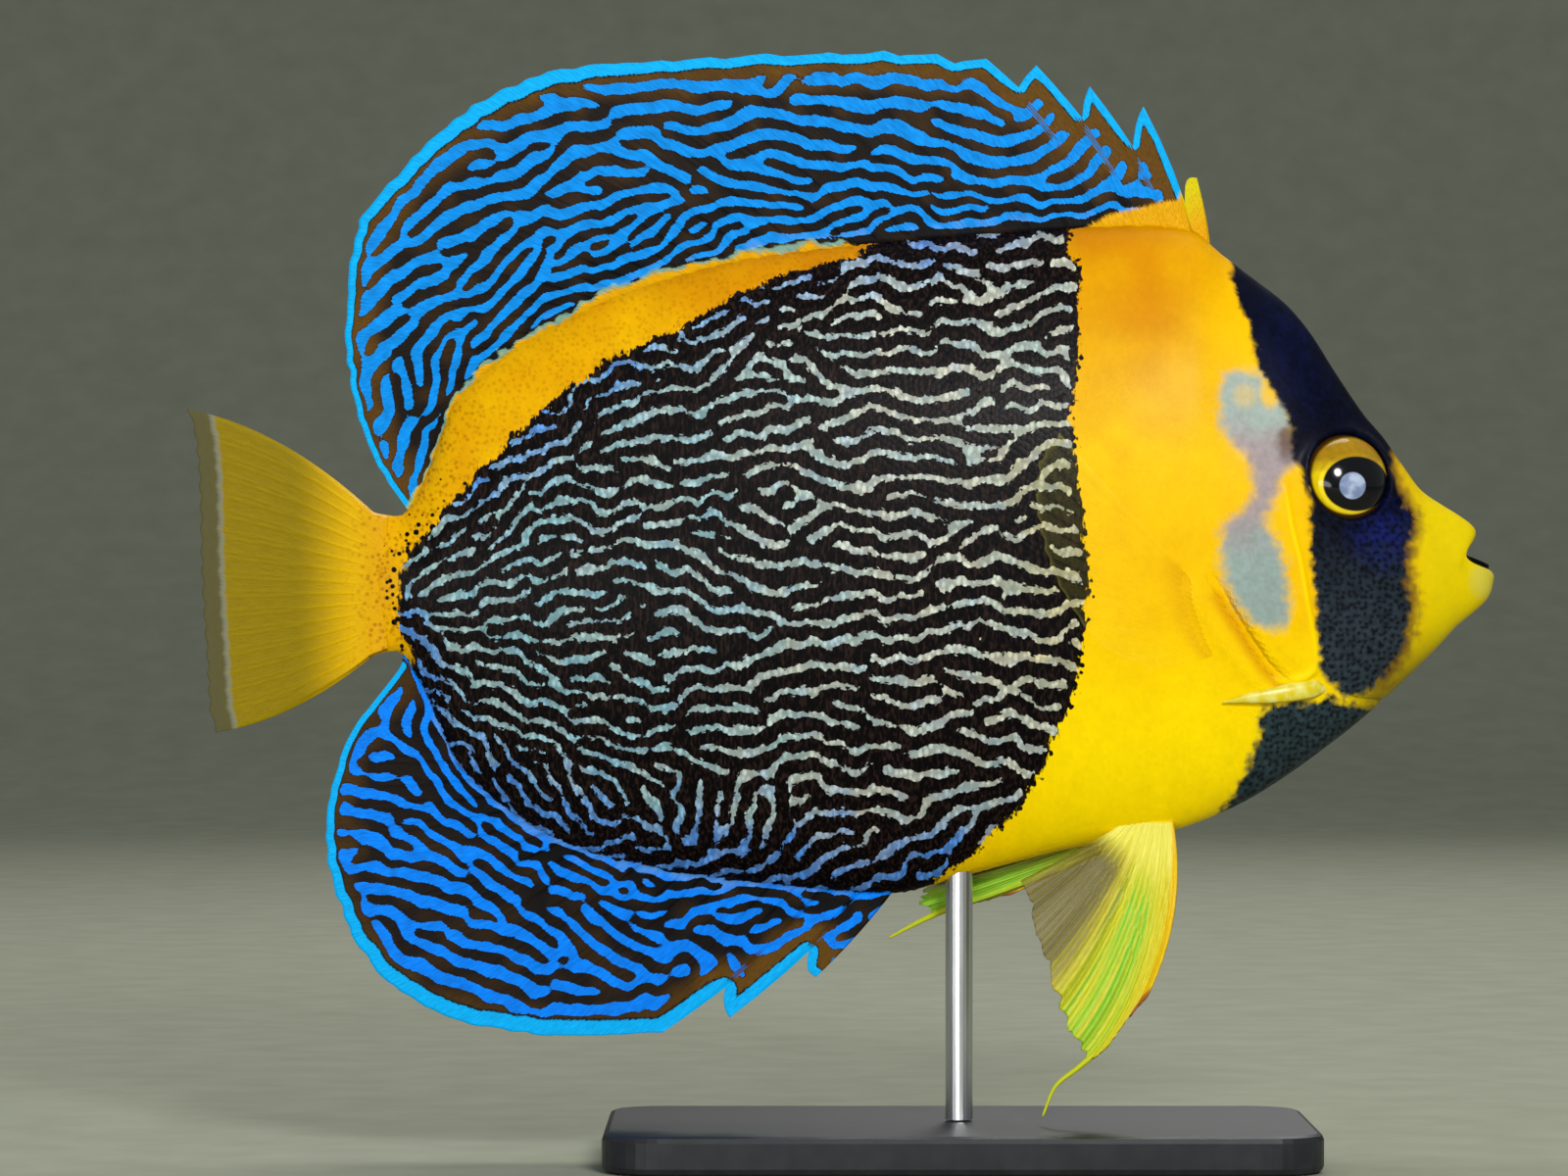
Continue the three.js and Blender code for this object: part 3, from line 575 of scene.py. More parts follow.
def eyeCentre(side):
    # where the axis of an eye meets the flank
    x, z = eye["at"]
    return np.array([x, side * float(flank(x, z)), z])


def dressed(x, y, z, side):
    # sets the relief of the head and the eye socket on points of the plain body
    step, steepest = 0.4, 3
    slopeX = (flank(x + step, z) - flank(x - step, z)) / (2 * step)
    slopeZ = (flank(x, z + step) - flank(x, z - step)) / (2 * step)
    slopeX, slopeZ = np.clip(slopeX, -steepest, steepest), np.clip(slopeZ, -steepest, steepest)
    size = np.sqrt(1 + slopeX ** 2 + slopeZ ** 2)
    normal = np.stack((-slopeX, side * np.ones_like(x), -slopeZ), -1) / size[:, None]
    points = np.stack((x, y, z), -1) + normal * (reliefAt(x, z) * smooth(40, 50, x))[:, None]
    for face in (-1, 1):
        axis = flankNormal(*eye["at"], face)
        offset = points - eyeCentre(face)
        depth = offset @ axis
        away = np.linalg.norm(offset - depth[:, None] * axis, axis=1)
        near = (np.abs(depth) < 7) & (side * face > 0)
        rim = eye["rim"]["high"] * np.exp(-((away - eye["rim"]["at"]) / eye["rim"]["wide"]) ** 2)
        rim -= eye["socketDeep"] * smooth(*eye["socket"], away)
        level = smooth(*eye["flattened"], away) * eye["flatShare"]
        points = points + (np.where(near, rim - depth * level, 0))[:, None] * axis
    return points


skin = {
    "around": 340,
    "trunkStep": 1.25,
    "headStep": 0.36,
    "headStart": 46,
    "faceEnd": 97.5,
    "lipRings": 42,
    # painted shade: over this share of the inner lip rings the inside of the mouth goes dark
    "mouthShade": (0.6, 0.68),
}
mouth = {
    "rings": [
        {"top": (99.9, 8.3), "side": (98.6, 2.2, 5.0), "bottom": (102.9, -5.9), "sag": 0.8},
        {"top": (100.95, 6.9), "side": (98.8, 2.2, 4.7), "bottom": (104.3, -2.1), "sag": 0.75},
        {"top": (100.7, 5.4), "side": (98.7, 2.2, 4.4), "bottom": (104.1, -0.9), "sag": 0.7},
        {"top": (99.7, 4.3), "side": (98.5, 2.25, 4.1), "bottom": (103.4, -0.1), "sag": 0.65},
        {"top": (99.0, 4.0), "side": (98.2, 2.6, 3.6), "bottom": (102.8, 0.9), "sag": 1.1},
    ],
    "throat": (92.5, 1.8),
}


def mouthRing(ring, turn):
    # a closed ring round the mouth, told by its top, its corner and its bottom
    up, down = np.maximum(np.cos(turn), 0), np.maximum(-np.cos(turn), 0)
    sideX, sideZ, sideY = ring["side"]
    x = sideX + (ring["top"][0] - sideX) * up ** 1.6 + (ring["bottom"][0] - sideX) * down
    z = sideZ + (ring["top"][1] - sideZ) * up + (ring["bottom"][1] - sideZ) * down ** ring["sag"]
    y = sideY * np.sign(np.sin(turn)) * np.abs(np.sin(turn)) ** 0.9
    return np.stack((x, y, z), -1)


def makeSkin():
    trunk = np.arange(body["tailEnd"] + 0.2, skin["headStart"], skin["trunkStep"])
    head = np.arange(skin["headStart"], skin["faceEnd"], skin["headStep"])
    stations = np.concatenate((trunk, head))
    lips = skin["lipRings"]
    rings = len(stations) + lips + 1
    around = skin["around"]
    shares = np.arange(around) / around
    loft = []
    for x in stations:
        _, z, y, length = arcs(x)
        place = 2 * np.minimum(shares, 1 - shares) * length[-1]
        half = np.where(shares < 0.5, -1, 1) * np.interp(place, length, y)
        loft.append(np.stack((np.full(around, x), half, np.interp(place, length, z)), -1))
    turn, _, _, length = arcs(skin["faceEnd"])
    place = 2 * np.minimum(shares, 1 - shares) * length[-1]
    ringTurn = np.interp(place, length, turn) * np.where(shares < 0.5, -1, 1)
    throat = np.array([mouth["throat"][0], 0, mouth["throat"][1]])
    keys = [loft[-3], loft[-1]] + [mouthRing(ring, ringTurn) for ring in mouth["rings"]]
    keys += [keys[-1] * 0.4 + throat * 0.6, throat + np.zeros_like(loft[-1])]
    stages = len(keys) - 3
    for k in range(1, lips + 1):
        t = k / (lips + 1) * stages
        i, t = int(t), t - int(t)
        before, first, second, after = keys[i:i + 4]
        loft.append(passing(before, first, second, after, t))
    loft = np.array(loft)
    bpy.ops.mesh.primitive_uv_sphere_add(segments=around, ring_count=rings, radius=1)
    piece = active()
    co = pointsOf(piece)
    ring = np.rint(np.arccos(np.clip(co[:, 2], -1, 1)) / math.pi * rings).astype(int)
    segment = np.rint(np.arctan2(co[:, 1], co[:, 0]) / (2 * math.pi) * around).astype(int) % around
    points = np.empty((len(co), 3))
    onLoft = (ring > 0) & (ring < rings)
    points[onLoft] = loft[ring[onLoft] - 1, segment[onLoft]]
    points[ring == 0] = (body["tailEnd"] - 0.1, 0, -2.8)
    points[ring == rings] = throat
    face = onLoft & (ring <= len(stations))
    side = np.where(segment < around / 2, -1, 1)
    plain = points.copy()
    points[face] = dressed(points[face, 0], points[face, 1], points[face, 2], side[face])
    setPoints(piece, points)
    faceOut(piece)
    keepCoat(piece, plain[:, 0], plain[:, 2], plain[:, 0], plain[:, 2])
    # painted shade inside the mouth: 0 on the lips, 1 on the inner rings
    keep(piece, "mouth", smooth(*skin["mouthShade"], (ring - len(stations)) / lips))
    return finished(piece, "skin")


coat = {
    "from": -99.5,
    "to": 92.0,
    "stepAt": through([(-100, 0.7), (-80, 0.8), (20, 0.82), (30, 0.7), (50, 0.6), (92, 0.5)]),
    "rowAt": through([(-100, 1.0), (-80, 1.25), (20, 1.3), (30, 1.05), (50, 0.85), (92, 0.66)]),
    "length": 2.3,
    "height": 1.25,
    "jitter": 0.13,
    "thick": (0.008, 0.06),
    "lift": (0.014, 0.085),
    "sink": (0.03, 0.11),
    "outline": [(-0.5, 0.0), (-0.25, 0.42), (0.22, 0.5), (0.5, 0.2), (0.5, -0.2), (0.22, -0.5),
                (-0.25, -0.42)],
    "crown": (0.05, 0),
    "unwrap": 240,
    "patch": 0.003,
    "parts": [("Rear", -200, -38), ("Middle", -38, 24), ("Front", 24, 200)],
    "seed": 500,
}


def scaleLattice(draws):
    # places on one flank: rows run along the body and each second column is shifted half a row
    made = []
    x = coat["from"]
    column = 0
    while x < coat["to"]:
        step = float(coat["stepAt"](x))
        turn, z, _, length = arcs(x)
        height = float(coat["rowAt"](x))
        middle = length[-1] / 2
        rows = np.arange(-math.floor(middle / height), middle / height, 1.0) + (0.5 if column % 2 else 0)
        place = middle + (rows + draws.normal(0, coat["jitter"], len(rows))) * height
        place = place[(place > 0.8) & (place < length[-1] - 0.8)]
        rowX = x + draws.normal(0, coat["jitter"] * step, len(place))
        made.append(np.stack((rowX, np.interp(place, length, z), place - middle, np.full(len(place), step),
                              np.full(len(place), height), np.interp(place, length, turn)), -1))
        x += step
        column += 1
    return np.concatenate(made)


def surface(x, turn, side):
    # a point of the dressed skin, from its station and its turn round the section
    middle, half = depthAt(x)
    z = middle + half * np.cos(turn)
    y = side * widthAt(x) * np.abs(np.sin(turn)) ** pinchAt(x)
    return dressed(x, y, z, side * np.ones_like(x))


def makeScales(side, low, high, name, seed):
    draws = np.random.default_rng(seed)
    spots = scaleLattice(draws)
    x, z = spots.T[:2]
    away = np.hypot(x - eye["at"][0], z - eye["at"][1])
    bare = (away < 9.4) | (distanceTo(gill["ridge"], x, z) < 0.8)
    bare |= (x > 84) & (z > 13) & (away < 11)
    bare |= draws.uniform(0, 1, len(x)) > (coat["to"] - x) / 4
    spots = spots[(x >= low) & (x < high) & ~bare]
    x, z, place, step, height, turn = spots.T
    count = len(x)
    here = surface(x, turn, side)
    backward = surface(x - 0.4, turn, side) - surface(x + 0.4, turn, side)
    backward /= np.linalg.norm(backward, axis=1)[:, None]
    upward = surface(x, turn - 0.01, side) - surface(x, turn + 0.01, side)
    upward -= (upward * backward).sum(1)[:, None] * backward
    upward /= np.linalg.norm(upward, axis=1)[:, None]
    out = np.cross(backward, upward)
    out *= np.sign(out[:, 1] * side)[:, None]
    raised = smooth(-0.5, 0.5, inside(outlines["scribbled"], x, z))

    def grown(flat, high):
        return flat + (high - flat) * raised

    thick, lift, sink = grown(*coat["thick"]), grown(*coat["lift"]), grown(*coat["sink"])
    outline = np.array(coat["outline"] + [coat["crown"], coat["crown"]])
    corners = len(coat["outline"])
    length = step * coat["length"] * draws.uniform(0.92, 1.08, count)
    tall = height * coat["height"] * draws.uniform(0.92, 1.08, count)
    lean = draws.normal(0, 0.05, count)
    verts = []
    for along, across in outline:
        a = along * length
        b = across * tall + lean * a
        above = (sink + lift) * (along + 0.5) - sink
        verts.append(here + backward * a[:, None] + upward * b[:, None] + out * above[:, None])
    verts[-2] = verts[-2] + out * thick[:, None]
    verts[-1] = verts[-1] - out * thick[:, None] * 0.6
    verts = np.stack(verts, 1).reshape(-1, 3)
    top, under, each = corners, corners + 1, corners + 2
    faces = [(i, (i + 1) % corners, top) for i in range(corners)]
    faces += [((i + 1) % corners, i, under) for i in range(corners)]
    faces = np.array(faces)
    faces = faces if side > 0 else faces[:, ::-1]
    faces = (faces[None] + (np.arange(count) * each)[:, None, None]).reshape(-1, 3)
    mesh = bpy.data.meshes.new(name)
    mesh.vertices.add(len(verts))
    mesh.loops.add(len(faces) * 3)
    mesh.polygons.add(len(faces))
    mesh.polygons.foreach_set("loop_start", np.arange(len(faces)) * 3)
    mesh.loops.foreach_set("vertex_index", faces.ravel())
    mesh.update(calc_edges=True)
    piece = bpy.data.objects.new(name, mesh)
    scene.collection.objects.link(piece)
    setPoints(piece, verts)
    keepCoat(piece, verts[:, 0], verts[:, 2], verts[:, 0] + np.repeat(draws.normal(0, 0.1, count), each),
             verts[:, 2] + np.repeat(draws.normal(0, 0.15, count), each))
    keep(piece, "mouth", np.zeros(len(verts)))
    keep(piece, "shade", np.repeat(1 + draws.normal(0, 0.012 + 0.06 * raised, count), each))
    unwrap(piece, x, place, outline, faces)
    return finished(piece, name, creased=True)


def unwrap(piece, x, place, local, faces):
    # each scale is a small patch at its root's place on an unwrap of that flank
    wide = coat["unwrap"]
    root = np.stack((x + wide / 2, place + wide / 2), -1) / wide
    patch = (root[:, None, :] + local[None] * coat["patch"]).reshape(-1, 2)
    layer = piece.data.uv_layers.new(name="OFBake")
    layer.data.foreach_set("uv", patch[faces.ravel()].astype(np.float32).ravel())


# Materials
def shader(name, roughness, **settings):
    material = bpy.data.materials.new(name)
    material.use_nodes = True
    tree = material.node_tree
    principled = tree.nodes["Principled BSDF"]
    principled.inputs["Roughness"].default_value = roughness
    for socket, value in settings.items():
        principled.inputs[socket.replace("_", " ")].default_value = value
    return material, tree, principled


def reading(tree, name, output="Fac"):
    # what was kept on the points of the mesh
    node = tree.nodes.new("ShaderNodeAttribute")
    node.attribute_name = name
    return node.outputs[output]


def reckoned(tree, operation, first, second=0):
    node = tree.nodes.new("ShaderNodeMath")
    node.operation = operation
    for socket, value in zip(node.inputs, (first, second)):
        if isinstance(value, (int, float)):
            socket.default_value = value
        else:
            tree.links.new(value, socket)
    return node.outputs[0]


def plus(tree, first, second):
    return reckoned(tree, "ADD", first, second)


def minus(tree, first, second):
    return reckoned(tree, "SUBTRACT", first, second)


def times(tree, first, second):
    return reckoned(tree, "MULTIPLY", first, second)


def ramp(tree, value, low, high):
    node = tree.nodes.new("ShaderNodeMapRange")
    node.interpolation_type = "SMOOTHSTEP"
    tree.links.new(value, node.inputs["Value"])
    node.inputs["From Min"].default_value = low
    node.inputs["From Max"].default_value = high
    return node.outputs["Result"]


def mixed(tree, share, first, second, way="MIX"):
    node = tree.nodes.new("ShaderNodeMix")
    node.data_type = "RGBA"
    node.blend_type = way
    if isinstance(share, (int, float)):
        node.inputs["Factor"].default_value = share
    else:
        tree.links.new(share, node.inputs["Factor"])
    for key, value in (("A", first), ("B", second)):
        socket = [s for s in node.inputs if s.name == key and s.type == "RGBA"][0]
        if isinstance(value, np.ndarray):
            socket.default_value = (*value, 1)
        else:
            tree.links.new(value, socket)
    return [s for s in node.outputs if s.type == "RGBA"][0]


def noise(tree, scale, detail=2, source=None, stretch=(1, 1, 1)):
    place = tree.nodes.new("ShaderNodeTexCoord")
    mapping = tree.nodes.new("ShaderNodeMapping")
    mapping.inputs["Scale"].default_value = stretch
    tree.links.new(place.outputs[source or "Object"], mapping.inputs["Vector"])
    node = tree.nodes.new("ShaderNodeTexNoise")
    node.inputs["Scale"].default_value = scale
    node.inputs["Detail"].default_value = detail
    tree.links.new(mapping.outputs[0], node.inputs["Vector"])
    return node.outputs["Fac"]


def streaks(tree, across, along):
    # noise drawn out along the rays of a fin
    return noise(tree, 1.0, 2, "UV", (across, along, 1))


def shaded(tree, colour, share, low, high):
    # the colour times a grey that goes from the low to the high one with the share
    grey = mixed(tree, share, np.full(3, low), np.full(3, high))
    return mixed(tree, 1.0, colour, grey, "MULTIPLY")


def bumped(tree, principled, height, strength, distance):
    node = tree.nodes.new("ShaderNodeBump")
    node.inputs["Strength"].default_value = strength
    node.inputs["Distance"].default_value = distance
    tree.links.new(height, node.inputs["Height"])
    tree.links.new(node.outputs[0], principled.inputs["Normal"])


def dotsAt(tree, spacing, tall=1.0):
    # the distance to the nearest of many scattered places, seen from the side, in spacings
    place = tree.nodes.new("ShaderNodeTexCoord")
    mapping = tree.nodes.new("ShaderNodeMapping")
    mapping.inputs["Scale"].default_value = (1, 0, 1 / tall)
    tree.links.new(place.outputs["Object"], mapping.inputs["Vector"])
    node = tree.nodes.new("ShaderNodeTexVoronoi")
    node.inputs["Scale"].default_value = 1000 / spacing
    node.inputs["Randomness"].default_value = 0.85
    tree.links.new(mapping.outputs[0], node.inputs["Vector"])
    return node.outputs["Distance"]


def grainedMaterial(name, look, stretch=(1, 1, 1), **settings):
    # two close colours in a fine grain, which is also felt where the look has a bump
    material, tree, principled = shader(name, look["rough"], **settings)
    scale, detail = look["grain"]
    grain = noise(tree, scale, detail, None, stretch)
    colour = mixed(tree, ramp(tree, grain, *look["span"]), *look["colours"])
    tree.links.new(colour, principled.inputs["Base Color"])
    if "bump" in look:
        bumped(tree, principled, grain, *look["bump"])
    return material


coatLook = {
    "rough": 0.45,
    "grain": 1500,
    "upright": (1900, 0.28),
    "bead": (0.95, 1.7),
    "beadPull": 0.6,
    "line": (0.33, 0.46),
    "pearl": (1.12, 0.66),
    "teeth": (0.6, 2.2),
    "freckleSpacing": 0.95,
    "freckleShare": 0.75,
    "dotSpacing": 1.45,
    "dotGrowth": 0.44,
    "bump": (0.12, 0.0002),
}


def coatMaterial(name, scales):
    material, tree, principled = shader(name, coatLook["rough"], Specular_IOR_Level=0.05,
                                        Coat_Weight=0.02, Coat_Roughness=0.2)
    fine = minus(tree, noise(tree, coatLook["grain"], 3), 0.5)
    uprightScale, uprightTall = coatLook["upright"]
    upright = noise(tree, uprightScale, 2, None, (1, 1, uprightTall))
    scrib = plus(tree, reading(tree, "scrib"), times(tree, fine, 0.35))
    bead = dotsAt(tree, *coatLook["bead"])
    scrib = plus(tree, scrib, times(tree, minus(tree, 0.4, bead), coatLook["beadPull"]))
    fineTeeth, longTeeth = coatLook["teeth"]
    teeth = plus(tree, times(tree, fine, fineTeeth), times(tree, minus(tree, upright, 0.5), longTeeth))
    inner = plus(tree, reading(tree, "inner"), teeth)
    ink = mixed(tree, ramp(tree, upright, 0.45, 0.7), palette["ink"], palette["inkGrain"])
    line = ramp(tree, scrib, *coatLook["line"])
    pearl = shaded(tree, reading(tree, "lineColour", "Color"), ramp(tree, bead, 0.2, 0.6), *coatLook["pearl"])
    flankColour = mixed(tree, line, ink, pearl)
    # brown freckles on the yellow towards the tail, and black dots that grow towards the scribbles
    freckle = plus(tree, dotsAt(tree, coatLook["freckleSpacing"]), times(tree, fine, 0.3))
    freckle = times(tree, ramp(tree, freckle, 0.6, 0.05), reading(tree, "rear"))
    plain = mixed(tree, times(tree, freckle, coatLook["freckleShare"]),
                  reading(tree, "skinColour", "Color"), palette["freckle"])
    near = plus(tree, reckoned(tree, "DIVIDE", inner, reading(tree, "dotReach")), 1)
    dot = minus(tree, times(tree, near, coatLook["dotGrowth"]), dotsAt(tree, coatLook["dotSpacing"]))
    plain = mixed(tree, ramp(tree, dot, -0.06, 0.06), plain, palette["ink"])
    colour = mixed(tree, ramp(tree, inner, -0.15, 0.25), plain, flankColour)
    # painted shade: the inside of the mouth is darkened to ink
    colour = mixed(tree, reading(tree, "mouth"), colour, palette["ink"])
    if scales:
        grey = tree.nodes.new("ShaderNodeCombineColor")
        shade = reading(tree, "shade")
        for socket in grey.inputs[:3]:
            tree.links.new(shade, socket)
        colour = mixed(tree, 1.0, colour, grey.outputs[0], "MULTIPLY")
    tree.links.new(colour, principled.inputs["Base Color"])
    bumped(tree, principled, noise(tree, 2600, 2), *coatLook["bump"])
    return material


def dress(piece, material):
    piece.data.materials.clear()
    piece.data.materials.append(material)


skinPiece = makeSkin()
dress(skinPiece, coatMaterial("wet skin", False))
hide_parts("head", "lower_jaw", "trunk", "tail_stalk", "gill_cover_right", "gill_cover_left")
print("skin made", len(skinPiece.data.polygons))

scaleCoat = coatMaterial("small scales", True)
for sideName, side in (("Right", -1), ("Left", 1)):
    for part, low, high in coat["parts"]:
        piece = makeScales(side, low, high, "scales" + part + sideName, coat["seed"] + side + low)
        dress(piece, scaleCoat)
        print(piece.name, len(piece.data.polygons))

print("scales made")

# Unpaired fins, with the same key sizes as the solids
napeYellow = rounded([(20, 59), (27.4, 61.4), (30.3, 63.3), (33.8, 65.1), (39, 66.3), (43.2, 67.4),
                      (46.3, 68), (47.3, 71), (49, 75), (56, 70), (60, 50), (30, 50)])


def dorsalBase(x, z, along, toEdge):
    gold = 0.8 * smooth(9, 3, toEdge) + 0.7 * smooth(5, 35, x) * smooth(0.15, 0.5, along)
    gold = np.clip(gold + 0.25 * mottle(x, z, 4, 61), 0, 1)
    brown = smooth(0.05, 0.55, along + 0.1 * mottle(x, z, 5, 60))
    return blend(blend(palette["finInk"], palette["finBrown"], brown), palette["finGold"], gold * 0.85)


def analBase(x, z, along, toEdge):
    gold = smooth(-62, -20, x) * smooth(9, 3, toEdge) + 0.35 * smooth(7, 3, toEdge)
    gold = np.clip(gold + 0.2 * mottle(x, z, 4, 64), 0, 1)
    brown = smooth(0.15, 0.6, along + 0.1 * mottle(x, z, 5, 65))
    return blend(blend(palette["finInk"], palette["finBrown"], brown), palette["finGold"], gold * 0.85)


# The brown band is told by its least and greatest width and the heights where it starts and ends to widen.
dorsal = {
    "spines": 11,
    "rays": 33,
    "roots": [(1, 51.8), (2, 49), (4, 40.5), (8, 15), (11, -5.5), (33, -92.5)],
    "tips": [(1, 49.7, 71.8), (2, 39.9, 84.9), (3, 30, 88.6), (4, 20.1, 92.6), (7, -7.9, 95.3),
             (11, -49, 93.6), (14, -67.5, 92), (17, -83.5, 85.2), (20, -96.3, 74), (23, -105.8, 60.2),
             (26, -107, 43), (29, -104.8, 28.5), (31, -101, 19), (33, -95.5, 10.8)],
    "notches": [(1.8, 0.66), (2.8, 0.38), (3.8, 0.3), (4.8, 0.16), (5.8, 0.05), (7.8, 0.02), (11, 0.012)],
    "bow": 0.05,
    "sink": -3.2,
    "root": backAt,
    "cells": 15,
    "rows": 84,
    "blue": "finAzure",
    "baseColour": dorsalBase,
    "waves": (4.0, 2.9),
    "spread": 0.4,
    "rounds": 6,
    "focus": 0.52,
    "floor": 0.3,
    "bias": 0.0,
    "rough": 0.42,
    "shift": (-0.22, 0.3),
    "brownBand": (2.0, 3.7, 45, 80),
    "rootLine": -1,
    "rootGap": 1.2,
    "margin": [(1, 1.0), (4, 1.3), (7, 1.6), (11, 1.8), (14, 2.3), (17, 2.5), (20, 2.1), (23, 1.5),
               (27, 1.1), (33, 1.0)],
    "ways": [(-96, 30, 70, 10), (-88, 52, 42, 14), (-80, 66, 30, 12), (-97, 50, 60, 8)],
    "sheath": (-16, -6),
    "plain": lambda x, z: np.clip(inside(napeYellow, x, z), -4, 4),
}
anal = {
    "spines": 3,
    "rays": 24,
    "roots": [(1, -4.5), (2, -11), (3, -17.5), (24, -95.5)],
    "tips": [(1, -20.3, -75.1), (2, -36.2, -82.6), (3, -48.5, -85.3), (6, -66, -86.2), (9, -83, -84.1),
             (12, -97.2, -77.8), (15, -107.2, -64.8), (18, -110.7, -48.5), (21, -107.5, -33.5),
             (24, -96.6, -18)],
    "notches": [(1.8, 0.47), (2.8, 0.3), (3.8, 0.04), (5, 0.012)],
    "bow": 0.05,
    "sink": 3.2,
    "root": bellyAt,
    "cells": 15,
    "rows": 84,
    "blue": "finBlue",
    "baseColour": analBase,
    "waves": (4.0, 2.9),
    "spread": 0.45,
    "rounds": 5,
    "focus": 0.6,
    "floor": 0.5,
    "bias": 0.0,
    "rough": 0.42,
    "shift": (-0.2, 0.25),
    "brownBand": (1.9, 3.9, -45, -75),
    "rootLine": 1,
    "rootGap": 0.4,
    "margin": [(1, 1.5), (3, 2.3), (8, 2.8), (12, 2.6), (15, 2.0), (18, 1.4), (24, 0.9)],
    "ways": [(-100, -50, -10, 12), (-95, -66, -15, 12), (-80, -70, -20, 12)],
    "sheath": (-300, -200),
    "plain": lambda x, z: np.full(np.shape(x), -4.0),
}
finSheet = {"maxHalf": 8.0, "notchPlace": 0.8, "softNotch": 0.004, "past": 0.4}


def rayRidges(ray, row, spines):
    # 1 on a ray and 0 between: spines are single, soft rays fork twice on their way out
    off = np.abs(ray - np.rint(ray))
    spine = np.exp(-(off / 0.1) ** 2)
    one = np.exp(-(off / 0.13) ** 2)
    two = np.exp(-((off - 0.15) / 0.08) ** 2)
    four = np.exp(-((off - 0.08) / 0.05) ** 2) + np.exp(-((off - 0.26) / 0.05) ** 2)
    first, second = smooth(0.3, 0.5, row), smooth(0.62, 0.8, row)
    soft = one * (1 - first) + two * 0.8 * first * (1 - second) + four * 0.6 * second
    return np.where(ray < spines + 0.5, spine, soft)


def makeSheet(name, columns, rows, place, half):
    # a grid shaped into the middle of a fin, then given its thickness, which varies with the rays
    bpy.ops.mesh.primitive_grid_add(x_subdivisions=columns, y_subdivisions=rows, size=2, calc_uvs=True)
    piece = active()
    co = pointsOf(piece)
    across, along = (co[:, 0] + 1) / 2, (co[:, 1] + 1) / 2
    setPoints(piece, place(across, along))
    group = piece.vertex_groups.new(name="half")
    shares = np.clip(half(across, along) / finSheet["maxHalf"], 0.001, 1)
    for index, share in enumerate(shares):
        group.add([index], float(share), "REPLACE")
    piece.name = name
    return piece, across, along


def thicken(piece):
    bpy.context.view_layer.objects.active = piece
    wall = piece.modifiers.new("wall", "SOLIDIFY")
    wall.thickness = finSheet["maxHalf"] * 2 * 0.001
    wall.offset = 0
    wall.vertex_group = "half"
    wall.thickness_vertex_group = 0
    wall.use_even_offset = False
    bpy.ops.object.modifier_apply(modifier=wall.name)
    faceOut(piece)
    piece.vertex_groups.clear()


def unpairedPoint(fin, ray, row):
    # a point of the fin seen from the side: ray number, and 0 at its root to 1 at its edge
    rootX = through(fin["roots"])(ray)
    rootZ = fin["root"](rootX) + fin["sink"]
    tipX, tipZ = (curve(ray) for curve in tipCurves(fin["tips"]))
    part = ray - np.floor(ray + 1e-6)
    behind = np.where(part < finSheet["notchPlace"], part / finSheet["notchPlace"],
                      (1 - part) / (1 - finSheet["notchPlace"]))
    notch = through(fin["notches"])(np.floor(ray + 1e-6) + finSheet["notchPlace"])
    deep = np.where(ray < fin["spines"], np.maximum(notch, finSheet["softNotch"]) * behind,
                    finSheet["softNotch"] * np.sin(math.pi * part) ** 2)
    deep = deep + 0.006 * (1 + mottle(ray, np.zeros_like(ray), 0.37, 91)) * smooth(2.5, 5, ray)
    row = row * (1 - deep)
    alongX, alongZ = tipX - rootX, tipZ - rootZ
    turn = -np.sign(fin["sink"]) * fin["bow"]
    byX = rootX + alongX / 2 + alongZ * turn
    byZ = rootZ + alongZ / 2 - alongX * turn
    return bowed(rootX, byX, tipX, row), bowed(rootZ, byZ, tipZ, row)


def finOutlines(fin):
    rays = np.linspace(1, fin["rays"], 240)
    edge = np.stack(unpairedPoint(fin, rays, np.ones_like(rays)), -1)
    rootX = np.linspace(through(fin["roots"])(1.0), through(fin["roots"])(float(fin["rays"])), 160)
    root = np.stack((rootX, fin["root"](rootX)), -1)
    return edge, root


def finLines(fin, seed):
    # the blue maze of a fin: its lines run with the base and the edge, and stop at a brown band
    edge, root = finOutlines(fin)
    both = np.vstack((edge, root))
    low, high = both.min(0) - 4, both.max(0) + 4
    xs, zs = np.arange(low[0], high[0], gridStep), np.arange(low[1], high[1], gridStep)
    x, z = np.meshgrid(xs, zs)
    toEdge, toRoot = distanceTo(edge, x, z), distanceTo(root, x, z)
    cosine, sine = np.zeros_like(x), np.zeros_like(x)
    for line, near in ((edge, toEdge), (root, toRoot)):
        middles = (line[1:] + line[:-1]) / 2
        turns = np.arctan2(*(line[1:] - line[:-1]).T[::-1]) * 2
        pull, c, s = np.full_like(x, 1e-9), np.zeros_like(x), np.zeros_like(x)
        for (mx, mz), turn in zip(middles[::4], turns[::4]):
            weight = np.exp(-((x - mx) ** 2 + (z - mz) ** 2) / (near + 3) ** 2 * 1.5)
            c += weight * math.cos(turn)
            s += weight * math.sin(turn)
            pull += weight
        cosine += c / pull / (near + 2)
        sine += s / pull / (near + 2)
    for ax, az, degrees, reach in fin["ways"]:
        weight = 1.2 * np.exp(-((x - ax) ** 2 + (z - az) ** 2) / reach ** 2)
        cosine += weight * math.cos(math.radians(2 * degrees))
        sine += weight * math.sin(math.radians(2 * degrees))
    way = np.arctan2(sine, cosine) / 2 + wander(x, z, seed + 50)
    thin, wide, start, full = fin["brownBand"]
    band = thin + (wide - thin) * smooth(start, full, z) + 0.6 * mottle(x, z, 5, seed + 60)

    def hold(value):
        value = np.where(toEdge < band, -1, value)
        return np.where((toRoot < fin["rootGap"]) & (toEdge > band + 2), fin["rootLine"], value)

    fine = smooth(0.6, 0.1, toRoot / (toRoot + toEdge))
    return sampler(xs, zs, scribble(way, fine, hold, seed, fin))


